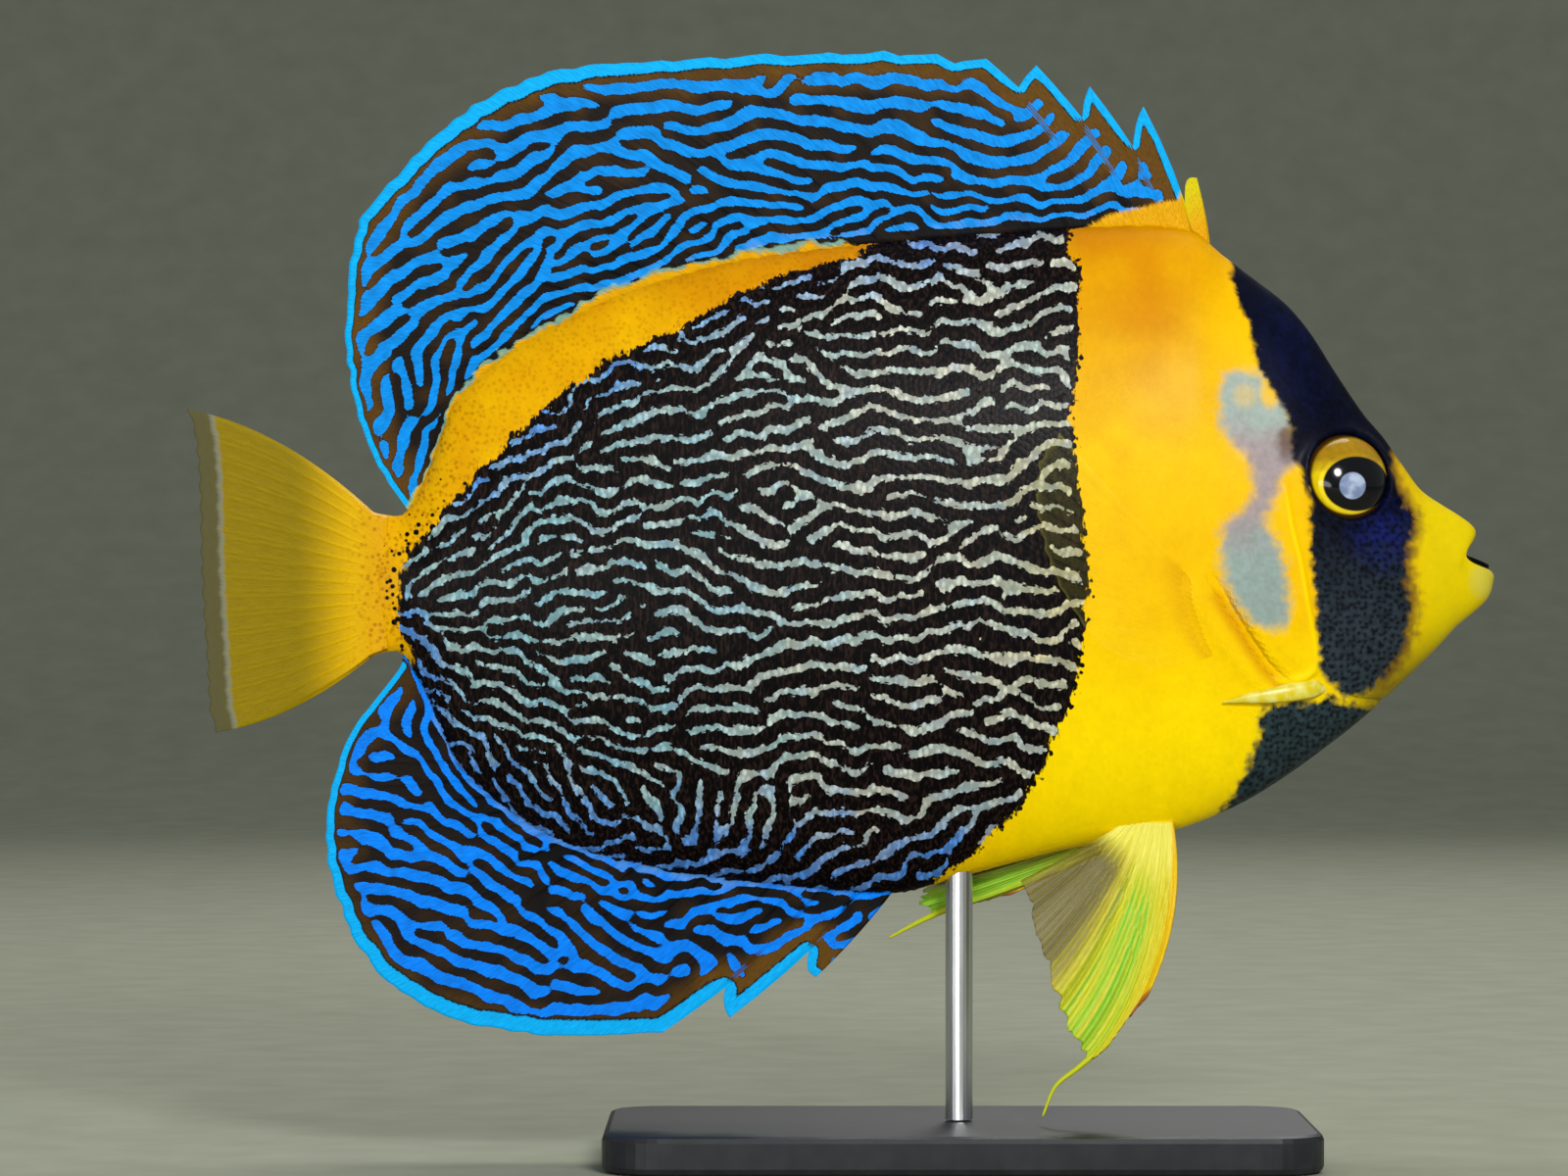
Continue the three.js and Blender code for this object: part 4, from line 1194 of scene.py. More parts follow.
def makeUnpaired(name, fin, seed, replaced):
    first, last = 1 - finSheet["past"], fin["rays"] + finSheet["past"]
    columns = round((last - first) * fin["cells"])

    def lines(across):
        return first + across * (last - first)

    def place(across, along):
        ray = np.clip(lines(across), 1, fin["rays"])
        x, z = unpairedPoint(fin, ray, along)
        past = lines(across) - ray
        x = x - past * 1.5 * (1 - along)
        return np.stack((x, np.zeros_like(x), z), -1)

    def half(across, along):
        points = place(across, along)
        web = 1.0 - 0.74 * np.sqrt(along)
        crest = 0.34 - 0.16 * along
        sheet = web + crest * rayRidges(lines(across), along, fin["spines"])
        edgeOn = np.minimum(smooth(0, 0.35, lines(across) - first), smooth(0, 0.3, last - lines(across)))
        sheet = sheet * (0.3 + 0.7 * edgeOn)
        within = (points[:, 2] < backAt(points[:, 0])) & (points[:, 2] > bellyAt(points[:, 0]))
        skinHalf = np.where(within, flank(points[:, 0], points[:, 2]) - 0.12, 0)
        return softer(sheet, skinHalf, 1.2) - 0.4 * smooth(0.05, 0, along)

    piece, across, along = makeSheet(name, columns, fin["rows"], place, half)
    points = place(across, along)
    x, z = points[:, 0], points[:, 2]
    toEdge = distanceTo(finOutlines(fin)[0], x, z)
    low, rise = fin["shift"]
    keep(piece, "scrib", jogged(finLines(fin, seed), x, z, 0.6, seed) + low + rise * along)
    keep(piece, "edge", toEdge / through(fin["margin"])(np.clip(lines(across), 1, fin["rays"])))
    above = z - fin["root"](x) - 0.3 - 0.9 * mottle(x, z, 2.4, 66) - 0.5 * mottle(x, z, 0.9, 67)
    bandEnd = 9 * smooth(*fin["sheath"], x)
    keep(piece, "toRoot", np.abs(above - 0.25) + 0.3 * mottle(x, z, 1.3, 68) + bandEnd)
    keep(piece, "finBase", fin["baseColour"](x, z, along, toEdge), "FLOAT_COLOR")
    keep(piece, "finLine", finBlueAt(x, z, along, fin["blue"]), "FLOAT_COLOR")
    keep(piece, "plain", np.maximum(fin["plain"](x, z), np.clip(-above, -4, 4) - bandEnd))
    keep(piece, "along", along)
    thicken(piece)
    finished(piece, name)
    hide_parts(*replaced)
    print(name, len(piece.data.polygons))
    return piece


def finBlueAt(x, z, along, blue):
    colour = blend(palette["skyLine"], palette[blue], smooth(0.03, 0.16, along + 0.05 * mottle(x, z, 2, 62)))
    return colour * (1 + 0.14 * mottle(x, z, 1.4, 63))[..., None]


finLook = {
    "rough": 0.55,
    "streaks": (560, 24),
    "grain": 1400,
    "shake": (0.9, 0.35),
    "line": (-0.06, 0.06),
    "rimAt": -0.16,
    "rim": (0.14, 0.03),
    "inkEdge": (1.22, 1.1),
    "cyanEdge": (1.08, 0.98),
    "sheath": (0.7, 0.3),
    "yellow": (-0.4, 0.5),
    "shades": (0.78, 1.08),
    "bump": (0.35, 0.0003),
}


def finMaterial():
    material, tree, principled = shader("blue maze fin", finLook["rough"], Specular_IOR_Level=0.08)
    streak = streaks(tree, *finLook["streaks"])
    grain = noise(tree, finLook["grain"], 2)
    streakShake, grainShake = finLook["shake"]
    rough = plus(tree, times(tree, minus(tree, streak, 0.5), streakShake),
                 times(tree, minus(tree, grain, 0.5), grainShake))
    scrib = plus(tree, reading(tree, "scrib"), rough)
    colour = mixed(tree, ramp(tree, scrib, *finLook["line"]), reading(tree, "finBase", "Color"),
                   reading(tree, "finLine", "Color"))
    rim = reckoned(tree, "ABSOLUTE", minus(tree, scrib, finLook["rimAt"]))
    colour = mixed(tree, times(tree, ramp(tree, rim, *finLook["rim"]), 0.7), colour, palette["finInk"])
    edge = plus(tree, reading(tree, "edge"), times(tree, rough, 0.4))
    colour = mixed(tree, ramp(tree, edge, *finLook["inkEdge"]), colour, palette["finInk"])
    colour = mixed(tree, ramp(tree, edge, *finLook["cyanEdge"]), colour, palette["edgeCyan"])
    sheath = plus(tree, reading(tree, "toRoot"), times(tree, rough, 1.2))
    sheath = times(tree, ramp(tree, sheath, *finLook["sheath"]), 0.8)
    colour = mixed(tree, sheath, colour, palette["sheath"])
    plain = plus(tree, reading(tree, "plain"), times(tree, rough, 1.6))
    yellow = mixed(tree, ramp(tree, reading(tree, "along"), 0.3, 1),
                   blend(palette["amber"], palette["orange"], 0.5), palette["finLemon"])
    colour = mixed(tree, ramp(tree, plain, *finLook["yellow"]), colour, yellow)
    colour = shaded(tree, colour, ramp(tree, streak, 0.3, 0.7), *finLook["shades"])
    tree.links.new(colour, principled.inputs["Base Color"])
    bumped(tree, principled, streak, *finLook["bump"])
    return material


finCoat = finMaterial()
dorsalPiece = makeUnpaired("dorsalFin", dorsal, 31, ("dorsal_fin_front", "dorsal_fin_rear"))
dress(dorsalPiece, finCoat)
analPiece = makeUnpaired("analFin", anal, 32, ("anal_fin",))
dress(analPiece, finCoat)
print("unpaired fins made")

# Tail fin
tail = {
    "rays": 17,
    "start": -99.0,
    "root": (-101.8, 10.4, -16.1),
    "tips": [(1, -136.1, 29.3), (2, -134.7, 25), (5, -133.8, 15), (9, -133.4, -0.7), (13, -132.5, -16),
             (16, -131.9, -26), (17, -130.7, -30.2)],
    "bow": 0.34,
    "cells": 16,
    "rows": 76,
    "startShare": 0.14,
}


def tailPoint(ray, row):
    rootX, top, bottom = tail["root"]
    share = (ray - 1) / (tail["rays"] - 1)
    rootZ = top + (bottom - top) * share
    tipX, tipZ = (curve(ray) for curve in tipCurves(tail["tips"]))
    byX = (rootX + tipX) / 2
    byZ = (rootZ + tipZ) / 2 + tail["bow"] * np.abs(tipZ - rootZ) * (1 - 2 * share)
    out = np.clip((row - tail["startShare"]) / (1 - tail["startShare"]), 0, 1)
    out = out * (1 - 0.012 * np.sin(math.pi * ray) ** 2)
    x, z = bowed(rootX, byX, tipX, out), bowed(rootZ, byZ, tipZ, out)
    back = np.clip((tail["startShare"] - row) / tail["startShare"], 0, 1)
    startX = tail["start"]
    middle, half = depthAt(startX)
    startZ = middle + half * (0.98 - 1.96 * share)
    x = x + (startX - rootX) * back
    z = z + (startZ - rootZ) * back
    return x, z


def makeTail():
    columns = (tail["rays"] - 1) * tail["cells"]

    def lines(across):
        return 1 + across * (tail["rays"] - 1)

    def place(across, along):
        x, z = tailPoint(lines(across), along)
        return np.stack((x, np.zeros_like(x), z), -1)

    def half(across, along):
        points = place(across, along)
        ridge = rayRidges(lines(across), (along - 0.1) * 0.9, 0)
        out = np.clip((along - tail["startShare"]) / (1 - tail["startShare"]), 0, 1)
        sheet = 0.28 + 2.25 * (1 - out) ** 2.6 + (0.2 - 0.1 * out) * ridge * smooth(0, 0.2, out)
        skinHalf = np.where(points[:, 0] > body["tailEnd"] - 2, flank(points[:, 0], points[:, 2]) - 0.1, 0)
        rim = smooth(0, 0.02, np.minimum(across, 1 - across))
        skinHalf = skinHalf * smooth(-105, -101.5, points[:, 0])
        return softer(sheet * (0.35 + 0.65 * rim), skinHalf, 0.6) - 0.4 * smooth(0.05, 0, along)

    piece, across, along = makeSheet("caudalFin", columns, tail["rows"], place, half)
    points = place(across, along)
    keep(piece, "ridge", rayRidges(lines(across), (along - 0.1) * 0.9, 0))
    edgeRays = np.linspace(1, tail["rays"], 200)
    edge = np.stack(tailPoint(edgeRays, np.ones_like(edgeRays)), -1)
    keep(piece, "edge", distanceTo(edge, points[:, 0], points[:, 2]))
    keep(piece, "along", along)
    keep(piece, "side", np.minimum(across, 1 - across))
    thicken(piece)
    return finished(piece, "caudalFin")


tailLook = {
    "rough": 0.5,
    "streaks": (260, 14),
    "fineStreaks": (900, 60),
    "freckleSpacing": 1.15,
    "shades": (0.88, 1.07),
    "rim": (3.9, 3.3),
    "lineAt": 3.6,
    "line": (0.8, 0.15),
    "clear": (1.0, 4.5),
    "bump": (0.25, 0.0003),
}


def tailMaterial():
    material, tree, principled = shader("tail membrane", tailLook["rough"], Specular_IOR_Level=0.08)
    streak = streaks(tree, *tailLook["streaks"])
    fine = streaks(tree, *tailLook["fineStreaks"])
    ridge, out = reading(tree, "ridge"), reading(tree, "along")
    colour = mixed(tree, ramp(tree, out, 0.1, 0.26), blend(palette["amber"], palette["orange"], 0.45),
                   palette["tailGold"])
    colour = mixed(tree, ramp(tree, out, 0.2, 0.55), colour, palette["tailOlive"])
    between = times(tree, ramp(tree, ridge, 0.7, 0.1), ramp(tree, out, 0.12, 0.4))
    colour = mixed(tree, times(tree, between, 0.12), colour, palette["finGold"])
    colour = mixed(tree, times(tree, ramp(tree, fine, 0.5, 0.7), 0.3), colour, palette["finGold"])
    freckle = ramp(tree, dotsAt(tree, tailLook["freckleSpacing"]), 0.5, 0.14)
    freckle = times(tree, freckle, ramp(tree, out, 0.32, 0.1))
    colour = mixed(tree, times(tree, freckle, 0.7), colour, palette["freckle"])
    colour = shaded(tree, colour, ramp(tree, streak, 0.25, 0.75), *tailLook["shades"])
    edge = plus(tree, reading(tree, "edge"), times(tree, minus(tree, streak, 0.5), 0.9))
    colour = mixed(tree, ramp(tree, edge, *tailLook["rim"]), colour, palette["tailEdge"])
    line = reckoned(tree, "ABSOLUTE", minus(tree, edge, tailLook["lineAt"]))
    line = times(tree, ramp(tree, line, *tailLook["line"]), 0.75)
    colour = mixed(tree, line, colour, palette["tailLine"])
    tree.links.new(colour, principled.inputs["Base Color"])
    clear = ramp(tree, reading(tree, "edge"), *tailLook["clear"])
    solid = plus(tree, times(tree, clear, 0.45), 0.55)
    solid = reckoned(tree, "MAXIMUM", solid, ramp(tree, out, 0.5, 0.2))
    tree.links.new(solid, principled.inputs["Alpha"])
    bumped(tree, principled, streak, *tailLook["bump"])
    return material


tailPiece = makeTail()
dress(tailPiece, tailMaterial())
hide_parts("caudal_fin")
print("tail fin made")

# Paired fins
pectoral = {
    "rays": 15,
    "root": [(49.2, -4), (52.4, -15.7)],
    "tips": [(1, 23.6, 24.5), (3, 19.8, 19), (5, 19.3, 13), (8, 20.9, 3.5), (11, 25.4, -6.6),
             (13, 31.5, -14), (15, 40.2, -18.4)],
    "lift": [(0, -1.4), (0.1, 0.2), (0.3, 1.2), (1, 3.6)],
    "half": [(0, 0.35), (0.3, 0.25), (1, 0.14)],
    "cells": 14,
    "rows": 60,
}
pelvicRight = {
    "side": -1,
    "root": [(45.2, -46.6), (36, -46.8)],
    "tips": [(40, -78.3), (29.6, -89.6), (25.8, -84.5), (22.6, -76), (19.8, -66.8), (17, -57)],
    "bows": [(47.8, -62.8), (42, -76), (37, -70), (33, -64), (29, -58), (25.5, -53)],
    "filament": [(33, -86.6), (27.4, -91.2), (23.2, -94.6), (20.9, -99.9)],
    "splay": (3.4, 9.5),
    "greener": 0.0,
}
pelvicLeft = {
    "side": 1,
    "root": [(44, -46.8), (37.5, -46.4)],
    "tips": [(15.6, -60.4), (1.6, -63.6), (-1.2, -62), (-0.4, -59.6), (4, -57.2), (12.2, -53.6)],
    "bows": [(30, -53.5), (22, -57.2), (20, -55.6), (20, -54.2), (21, -52.8), (25, -50.8)],
    "filament": [(4.6, -62.6), (-1.2, -65.4), (-6.8, -68.4)],
    "splay": (3.9, 7.4),
    "greener": 0.55,
}
pelvicSheet = {"cells": 48, "rows": 90, "root": 0.9, "edge": 0.15, "ray": 0.22, "fringe": 0.03, "threads": 7}


def makePectoral(side, name):
    (topX, topZ), (lowX, lowZ) = pectoral["root"]
    tipX, tipZ = tipCurves(pectoral["tips"])
    liftAt, halfAt = through(pectoral["lift"]), through(pectoral["half"])

    def lines(across):
        return 1 + across * (pectoral["rays"] - 1)

    def place(across, along):
        ray = lines(across)
        out = along * (1 - 0.015 * np.sin(math.pi * ray) ** 2)
        x = (topX + (lowX - topX) * across) * (1 - out) + tipX(ray) * out
        z = (topZ + (lowZ - topZ) * across) * (1 - out) + tipZ(ray) * out
        return np.stack((x, side * (flank(x, z) + liftAt(along)), z), -1)

    def half(across, along):
        rim = smooth(0, 0.03, np.minimum(across, 1 - across))
        return (halfAt(along) + 0.2 * rayRidges(lines(across), along, 0)) * (0.4 + 0.6 * rim)

    columns = (pectoral["rays"] - 1) * pectoral["cells"]
    piece, across, along = makeSheet(name, columns, pectoral["rows"], place, half)
    ridge = rayRidges(lines(across), along, 0)
    rim = smooth(0.975, 1, along) + smooth(0.02, 0, across)
    tint = blend(palette["amber"], palette["finPale"], smooth(0.1, 0.9, along))
    keep(piece, "tint", tint, "FLOAT_COLOR")
    keep(piece, "solid", np.clip(0.007 + 0.022 * ridge + 0.3 * smooth(0.3, 0.0, along) + 0.05 * rim, 0, 1))
    thicken(piece)
    return finished(piece, name)


def makePelvic(fin, name):
    last = len(fin["tips"]) - 1
    tipX, tipZ, byX, byZ = (through([(i, point[k]) for i, point in enumerate(fin[part])])
                            for part in ("tips", "bows") for k in (0, 1))
    (frontX, frontZ), (rearX, rearZ) = fin["root"]
    near, far = fin["splay"]

    def threads(across, along):
        # fine branches of the rays, which part on their way out
        count = 2 + (pelvicSheet["threads"] - 2) * smooth(0.1, 0.6, along)
        wave = 0.5 + 0.5 * np.cos(2 * math.pi * across * last * np.round(count))
        return wave ** 2

    def place(across, along):
        line = across * last
        uneven = mottle(line, np.zeros_like(line), 0.14, 93)
        out = along * (1 - pelvicSheet["fringe"] * (1 + uneven) * np.abs(np.sin(math.pi * line)))
        rootX, rootZ = frontX + (rearX - frontX) * across, frontZ + (rearZ - frontZ) * across
        x = bowed(rootX, byX(line), tipX(line), out)
        z = bowed(rootZ, byZ(line), tipZ(line), out)
        ripple = 0.5 * np.sin(2 * math.pi * line) * smooth(0.2, 0.8, along)
        return np.stack((x, fin["side"] * (near + (far - near) * along) + ripple, z), -1)

    def half(across, along):
        rim = smooth(0, 0.02, np.minimum(across, 1 - across))
        web = pelvicSheet["root"] + (pelvicSheet["edge"] - pelvicSheet["root"]) * np.sqrt(along)
        ridge = np.maximum(rayRidges(across * last, along, 0), 0.6 * threads(across, along))
        return (web + pelvicSheet["ray"] * ridge) * (0.5 + 0.5 * rim)

    piece, across, along = makeSheet(name, last * pelvicSheet["cells"], pelvicSheet["rows"], place, half)
    fine = threads(across, along)
    streak = mottle(across * 40, along * 2.5, 1, 95)
    green = smooth(0.12, 0.3, across) * smooth(0.62, 0.42, across) * smooth(0.12, 0.4, along)
    green = np.clip(green * (0.75 + 0.6 * streak) + fin["greener"] * smooth(0.3, 0.7, along), 0, 1)
    smoke = smooth(0.45, 0.75, across + 0.06 * streak) * smooth(0.12, 0.35, along)
    tint = blend(palette["finPale"], palette["finLemon"], smooth(0.08, 0.3, along + 0.1 * streak))
    tint = blend(tint, palette["finGreen"], green)
    tint = blend(tint, palette["finSmoke"], 0.85 * smoke)
    tint = blend(tint, palette["finPale"], 0.45 * fine * (1 - smoke) * smooth(0.1, 0.3, along))
    tint = blend(tint, palette["amber"], 0.8 * smooth(0.08, 0.02, across))
    tint = blend(tint, palette["rust"], 0.9 * smooth(0.93, 0.98, along) * smooth(0.1, 0.05, across))
    keep(piece, "tint", tint, "FLOAT_COLOR")
    keep(piece, "solid", np.clip(0.94 - smoke * (0.62 - 0.5 * fine), 0, 1))
    thicken(piece)
    points = [(x, fin["side"] * (near + (far - near) * (0.85 + 0.15 * i)), z)
              for i, (x, z) in enumerate(fin["filament"])]
    thread = makeBar(name + "Thread", points, [(0, 0.7), (1, 0.22)], 10, 24)
    count = len(thread.data.vertices)
    threadColour = blend(palette["finLemon"], palette["finGreen"], 0.3)
    keep(thread, "tint", np.tile(threadColour, (count, 1)), "FLOAT_COLOR")
    keep(thread, "solid", np.ones(count))
    piece.select_set(True)
    thread.select_set(True)
    bpy.context.view_layer.objects.active = piece
    bpy.ops.object.join()
    return finished(piece, name)


def makeBar(name, points, radii, sides, steps, flatness=1.0):
    # a tapered bar along a curve, from a cylinder whose rings are moved along it
    bpy.ops.mesh.primitive_cylinder_add(vertices=sides, radius=1, depth=2, end_fill_type="TRIFAN")
    piece = active()
    bpy.ops.object.mode_set(mode="EDIT")
    for cut in np.linspace(-1, 1, steps + 1)[1:-1]:
        bpy.ops.mesh.select_all(action="SELECT")
        bpy.ops.mesh.bisect(plane_co=(0, 0, float(cut)), plane_no=(0, 0, 1))
    bpy.ops.object.mode_set(mode="OBJECT")
    co = pointsOf(piece)
    keys = np.array(points, float)
    spans = np.concatenate(([0], np.cumsum(np.linalg.norm(np.diff(keys, axis=0), axis=1))))
    curves = [through(list(zip(spans, keys[:, k]))) for k in range(3)]
    share = (co[:, 2] + 1) / 2
    t = share * spans[-1]
    centre = np.stack([curve(t) for curve in curves], -1)
    ahead = np.stack([curve(t + 0.05) - curve(t - 0.05) for curve in curves], -1)
    ahead /= np.linalg.norm(ahead, axis=1)[:, None]
    armOne = np.cross(ahead, np.array([0, 1.0, 0]))
    armOne /= np.linalg.norm(armOne, axis=1)[:, None]
    armTwo = np.cross(ahead, armOne) * flatness
    radius = through(radii)(share)
    setPoints(piece, centre + (armOne * co[:, :1] + armTwo * co[:, 1:2]) * radius[:, None])
    faceOut(piece)
    piece.name = name
    return piece


clearLook = {"rough": 0.4, "streaks": (200, 20), "shades": (0.86, 1.08), "bump": (0.2, 0.0002)}


def clearMaterial():
    material, tree, principled = shader("clear fin", clearLook["rough"], Specular_IOR_Level=0.2)
    streak = streaks(tree, *clearLook["streaks"])
    colour = shaded(tree, reading(tree, "tint", "Color"), ramp(tree, streak, 0.3, 0.7), *clearLook["shades"])
    tree.links.new(colour, principled.inputs["Base Color"])
    tree.links.new(reading(tree, "solid"), principled.inputs["Alpha"])
    bumped(tree, principled, streak, *clearLook["bump"])
    return material


clearFin = clearMaterial()
for side, name, node in ((-1, "pectoralRight", "pectoral_fin_right"),
                         (1, "pectoralLeft", "pectoral_fin_left")):
    piece = makePectoral(side, name)
    dress(piece, clearFin)
    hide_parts(node)
for fin, name, node in ((pelvicRight, "pelvicRight", "pelvic_fin_right"),
                        (pelvicLeft, "pelvicLeft", "pelvic_fin_left")):
    piece = makePelvic(fin, name)
    dress(piece, clearFin)
    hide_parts(node)
print("paired fins made")

# Cheek spines
cheekSpine = {
    "line": [(74.1, -20.6, -2.4), (71.4, -21.4, -0.5), (69.2, -22, 0.5), (62.6, -23.1, 0.75),
             (57, -23.8, 0.75), (53.6, -24.4, 0.8)],
    "radii": [(0, 1.3), (0.3, 1.75), (0.6, 1.4), (0.85, 0.7), (1, 0.12)],
    "flatness": 0.5,
    "rough": 0.35,
    "grain": (500, 2),
    "span": (0.35, 0.65),
    "colours": (palette["bone"], palette["snout"]),
}


def makeCheekSpine(side, name):
    points = [(x, side * (float(flank(x, z)) + lift), z) for x, z, lift in cheekSpine["line"]]
    piece = makeBar(name, points, cheekSpine["radii"], 24, 40, cheekSpine["flatness"])
    return finished(piece, name)


boneMaterial = grainedMaterial("spine bone", cheekSpine, Specular_IOR_Level=0.3, Coat_Weight=0.1)
for side, name, node in ((-1, "cheekSpineRight", "cheek_spine_right"),
                         (1, "cheekSpineLeft", "cheek_spine_left")):
    piece = makeCheekSpine(side, name)
    dress(piece, boneMaterial)
    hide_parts(node)
print("cheek spines made")

# Eyes
iris = {
    "ringAt": (76.75, 16.85),
    "ring": 7.3,
    "blackAt": (77.9, 15.35),
    "blackSize": (6.1, 4.9),
    "pupilAt": (77.1, 15.0),
    "pupil": 2.45,
    "rough": 0.12,
    "yellow": rgb(226, 196, 0),
    "brown": rgb(140, 102, 6),
    "amber": rgb(172, 112, 12),
    "gleam": rgb(250, 222, 40),
    "rimBrown": rgb(70, 44, 14),
    "black": rgb(8, 8, 12),
    # the lens in the pupil, painted pale bluish-grey as a reflection of light
    "lens": (rgb(112, 128, 160), rgb(170, 184, 208)),
}


def eyeAxes(side):
    axis = flankNormal(*eye["at"], side)
    ahead = np.array([1.0, 0, 0]) - axis[0] * axis
    ahead /= np.linalg.norm(ahead)
    upward = np.cross(ahead, axis) * -side
    upward = upward if upward[2] > 0 else -upward
    return eyeCentre(side) - eye["sunk"] * axis, axis, ahead, upward


def makeEye(side, name):
    centre, axis, ahead, upward = eyeAxes(side)
    bpy.ops.mesh.primitive_uv_sphere_add(segments=96, ring_count=64, radius=1)
    piece = active()
    co = pointsOf(piece)
    u, v = co[:, 0] * eye["radius"], co[:, 1] * eye["radius"]
    depth = co[:, 2] * eye["depth"]
    places = centre + u[:, None] * ahead + v[:, None] * upward + depth[:, None] * axis
    setPoints(piece, places)
    faceOut(piece)
    x, z = places[:, 0], places[:, 2]
    keep(piece, "black", np.hypot((x - iris["blackAt"][0]) / iris["blackSize"][0],
                                  (z - iris["blackAt"][1]) / iris["blackSize"][1]))
    keep(piece, "pupil", np.hypot(x - iris["pupilAt"][0], z - iris["pupilAt"][1]))
    keep(piece, "rim", np.hypot(x - iris["ringAt"][0], z - iris["ringAt"][1]))
    top = smooth(16.5, 20.5, z + 0.8 * mottle(x, z, 1.2, 97))
    ring = blend(iris["yellow"], iris["brown"], 0.9 * top)
    ring = blend(ring, iris["amber"], 0.5 * top * smooth(0.2, 0.7, mottle(x, z, 1.6, 98)))
    keep(piece, "low", 0.8 - 0.75 * smooth(14, 19, z + 0.3 * (x - 76)))
    keep(piece, "ringColour", ring * (1 + 0.12 * mottle(x, z, 0.6, 99))[:, None], "FLOAT_COLOR")
    return finished(piece, name)


def eyeMaterial():
    material, tree, principled = shader("wet eye", iris["rough"], Specular_IOR_Level=0.2,
                                        Coat_Weight=0.2, Coat_Roughness=0.03)
    black, pupil, rim = (reading(tree, name) for name in ("black", "pupil", "rim"))
    line = ramp(tree, reckoned(tree, "ABSOLUTE", minus(tree, black, 1.09)), 0.09, 0.02)
    ring = mixed(tree, times(tree, line, reading(tree, "low")), reading(tree, "ringColour", "Color"),
                 iris["gleam"])
    ring = mixed(tree, ramp(tree, rim, iris["ring"] - 0.5, iris["ring"]), ring, iris["rimBrown"])
    colour = mixed(tree, ramp(tree, black, 1.04, 0.98), ring, iris["black"])
    # painted reflection: the pupil shows the lens pale bluish-grey in a fine noise
    lens = mixed(tree, ramp(tree, noise(tree, 420), 0.35, 0.7), *iris["lens"])
    colour = mixed(tree, ramp(tree, pupil, iris["pupil"] + 0.12, iris["pupil"] - 0.12), colour, lens)
    tree.links.new(colour, principled.inputs["Base Color"])
    return material


eyeFinish = eyeMaterial()
for side, name, node in ((-1, "eyeRight", "eye_right"), (1, "eyeLeft", "eye_left")):
    piece = makeEye(side, name)
    dress(piece, eyeFinish)
    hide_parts(node)
print("eyes made")

# Stand: the solids stay and get a better finish
standLook = {
    "base": {"rough": 0.42, "grain": (260, 4), "span": (0.3, 0.7), "bump": (0.1, 0.0002),
             "colours": (rgb(30, 31, 34), rgb(38, 39, 42))},
    "rod": {"rough": 0.3, "grain": (900, 3), "span": (0.3, 0.7), "bump": (0.08, 0.0001),
            "colours": (rgb(186, 188, 190), rgb(212, 213, 214))},
}
baseMaterial = grainedMaterial("satin black base", standLook["base"], Specular_IOR_Level=0.25)
rodMaterial = grainedMaterial("brushed steel rod", standLook["rod"], (1, 1, 0.05), Metallic=1.0)
dress(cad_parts["stand_base"], baseMaterial)
dress(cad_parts["stand_rod"], rodMaterial)
print("stand finished")

# Floor, backdrop, lights and camera
studio = {
    "halfWidth": 3.6,
    "front": -3.6,
    "sweepStart": 1.6,
    "sweepRadius": 1.0,
    "run": 8.4,
    "below": 0.0002,
    "rough": 0.9,
    "grain": (60, 4),
    "span": (0.2, 0.8),
    "colours": (rgb(144, 146, 128), rgb(152, 154, 136)),
}


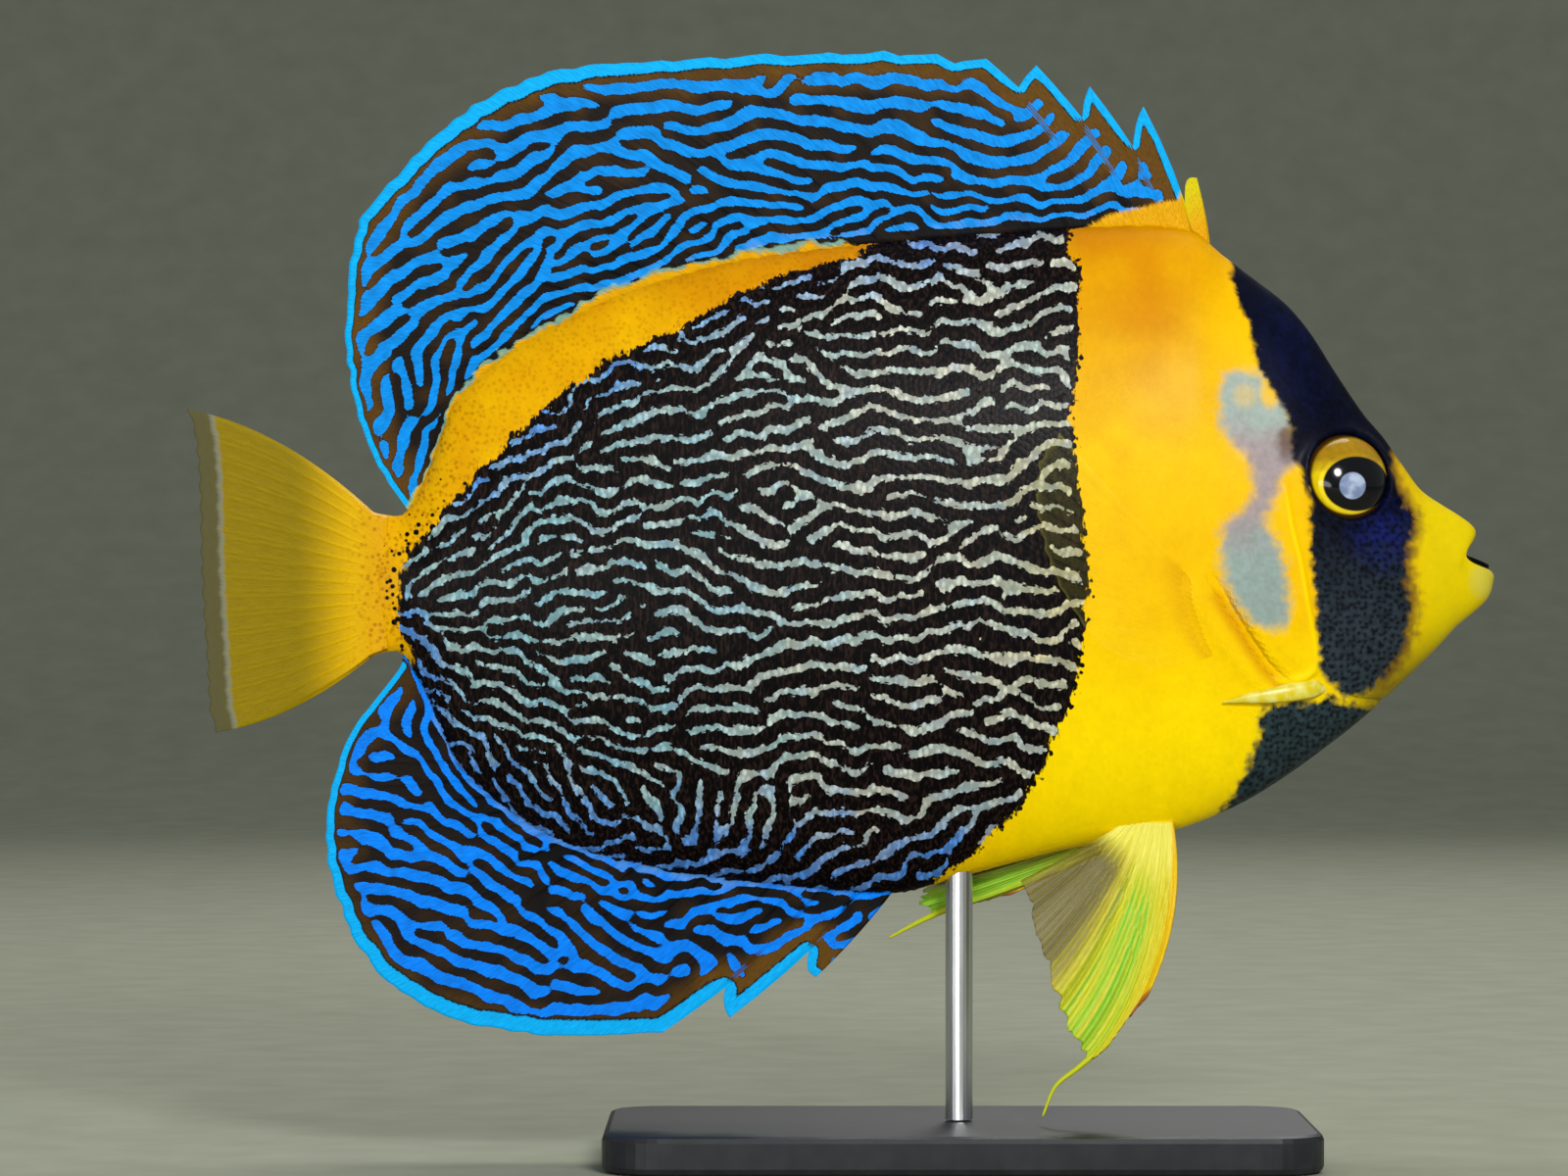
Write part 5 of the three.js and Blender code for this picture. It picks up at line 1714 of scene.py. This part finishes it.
def makeStage():
    bpy.ops.mesh.primitive_grid_add(x_subdivisions=8, y_subdivisions=120, size=2)
    piece = active()
    co = pointsOf(piece)
    run = (co[:, 1] + 1) / 2 * studio["run"] + studio["front"]
    start, radius = studio["sweepStart"], studio["sweepRadius"]
    bend = np.clip((run - start) / radius, 0, math.pi / 2)
    past = np.maximum(run - start - radius * math.pi / 2, 0)
    y = np.where(run < start, run, start + radius * np.sin(bend))
    z = radius * (1 - np.cos(bend)) + past
    points = np.stack((co[:, 0] * studio["halfWidth"], y, z + baseLow[2] - studio["below"]), -1)
    piece.data.vertices.foreach_set("co", points.astype(np.float32).ravel())
    piece.data.update()
    piece.name = "floorSweep"
    bpy.ops.object.shade_smooth()
    bpy.ops.object.select_all(action="DESELECT")
    dress(piece, grainedMaterial("pale paper floor", studio, Specular_IOR_Level=0.0))


# a lamp stands that far past the middle of the fish in x and z, and at that y
lamps = {
    "keyLight": {"at": (0.3, -1.15, 0.5), "size": (0.3, 0.3), "power": 12},
    "fillLight": {"at": (-0.4, -1.0, -0.04), "size": (0.8, 0.3), "power": 4.2},
    "topLight": {"at": (0, 0.3, 1.0), "size": (0.9, 0.6), "power": 6},
    "backLight": {"at": (0.2, 1.2, 0.8), "size": (0.5, 0.4), "power": 5},
}
sky = {"colour": (0.9, 0.95, 1, 1), "strength": 0.32}


def addLight(name, place, aim, size, power):
    data = bpy.data.lights.new(name, "AREA")
    data.shape = "ELLIPSE"
    data.size, data.size_y = size
    data.energy = power
    lamp = bpy.data.objects.new(name, data)
    scene.collection.objects.link(lamp)
    lamp.location = place
    lamp.visible_camera = False
    lamp.rotation_euler = (Vector(place) - Vector(aim)).to_track_quat("Z", "Y").to_euler()


makeStage()
middle = Vector(tuple(fishOrigin))
for name, lamp in lamps.items():
    aside, y, above = lamp["at"]
    addLight(name, (middle.x + aside, y, middle.z + above), middle, lamp["size"], lamp["power"])
world = bpy.data.worlds.new("studio")
scene.world = world
world.use_nodes = True
background = world.node_tree.nodes["Background"]
background.inputs["Color"].default_value = sky["colour"]
background.inputs["Strength"].default_value = sky["strength"]

view = {"away": 1200.0, "centre": (-26.2, -3.6), "wide": 288.4, "sensor": 36.0}
cameraData = bpy.data.cameras.new("camera")
camera = bpy.data.objects.new("camera", cameraData)
scene.collection.objects.link(camera)
cameraData.sensor_width = view["sensor"]
cameraData.lens = view["sensor"] * view["away"] / view["wide"]
camera.location = toFrame((view["centre"][0], -view["away"], view["centre"][1]))
camera.rotation_euler = (math.pi / 2, 0, 0)
cameraData.clip_end = 20
scene.camera = camera
print("camera and lights set")
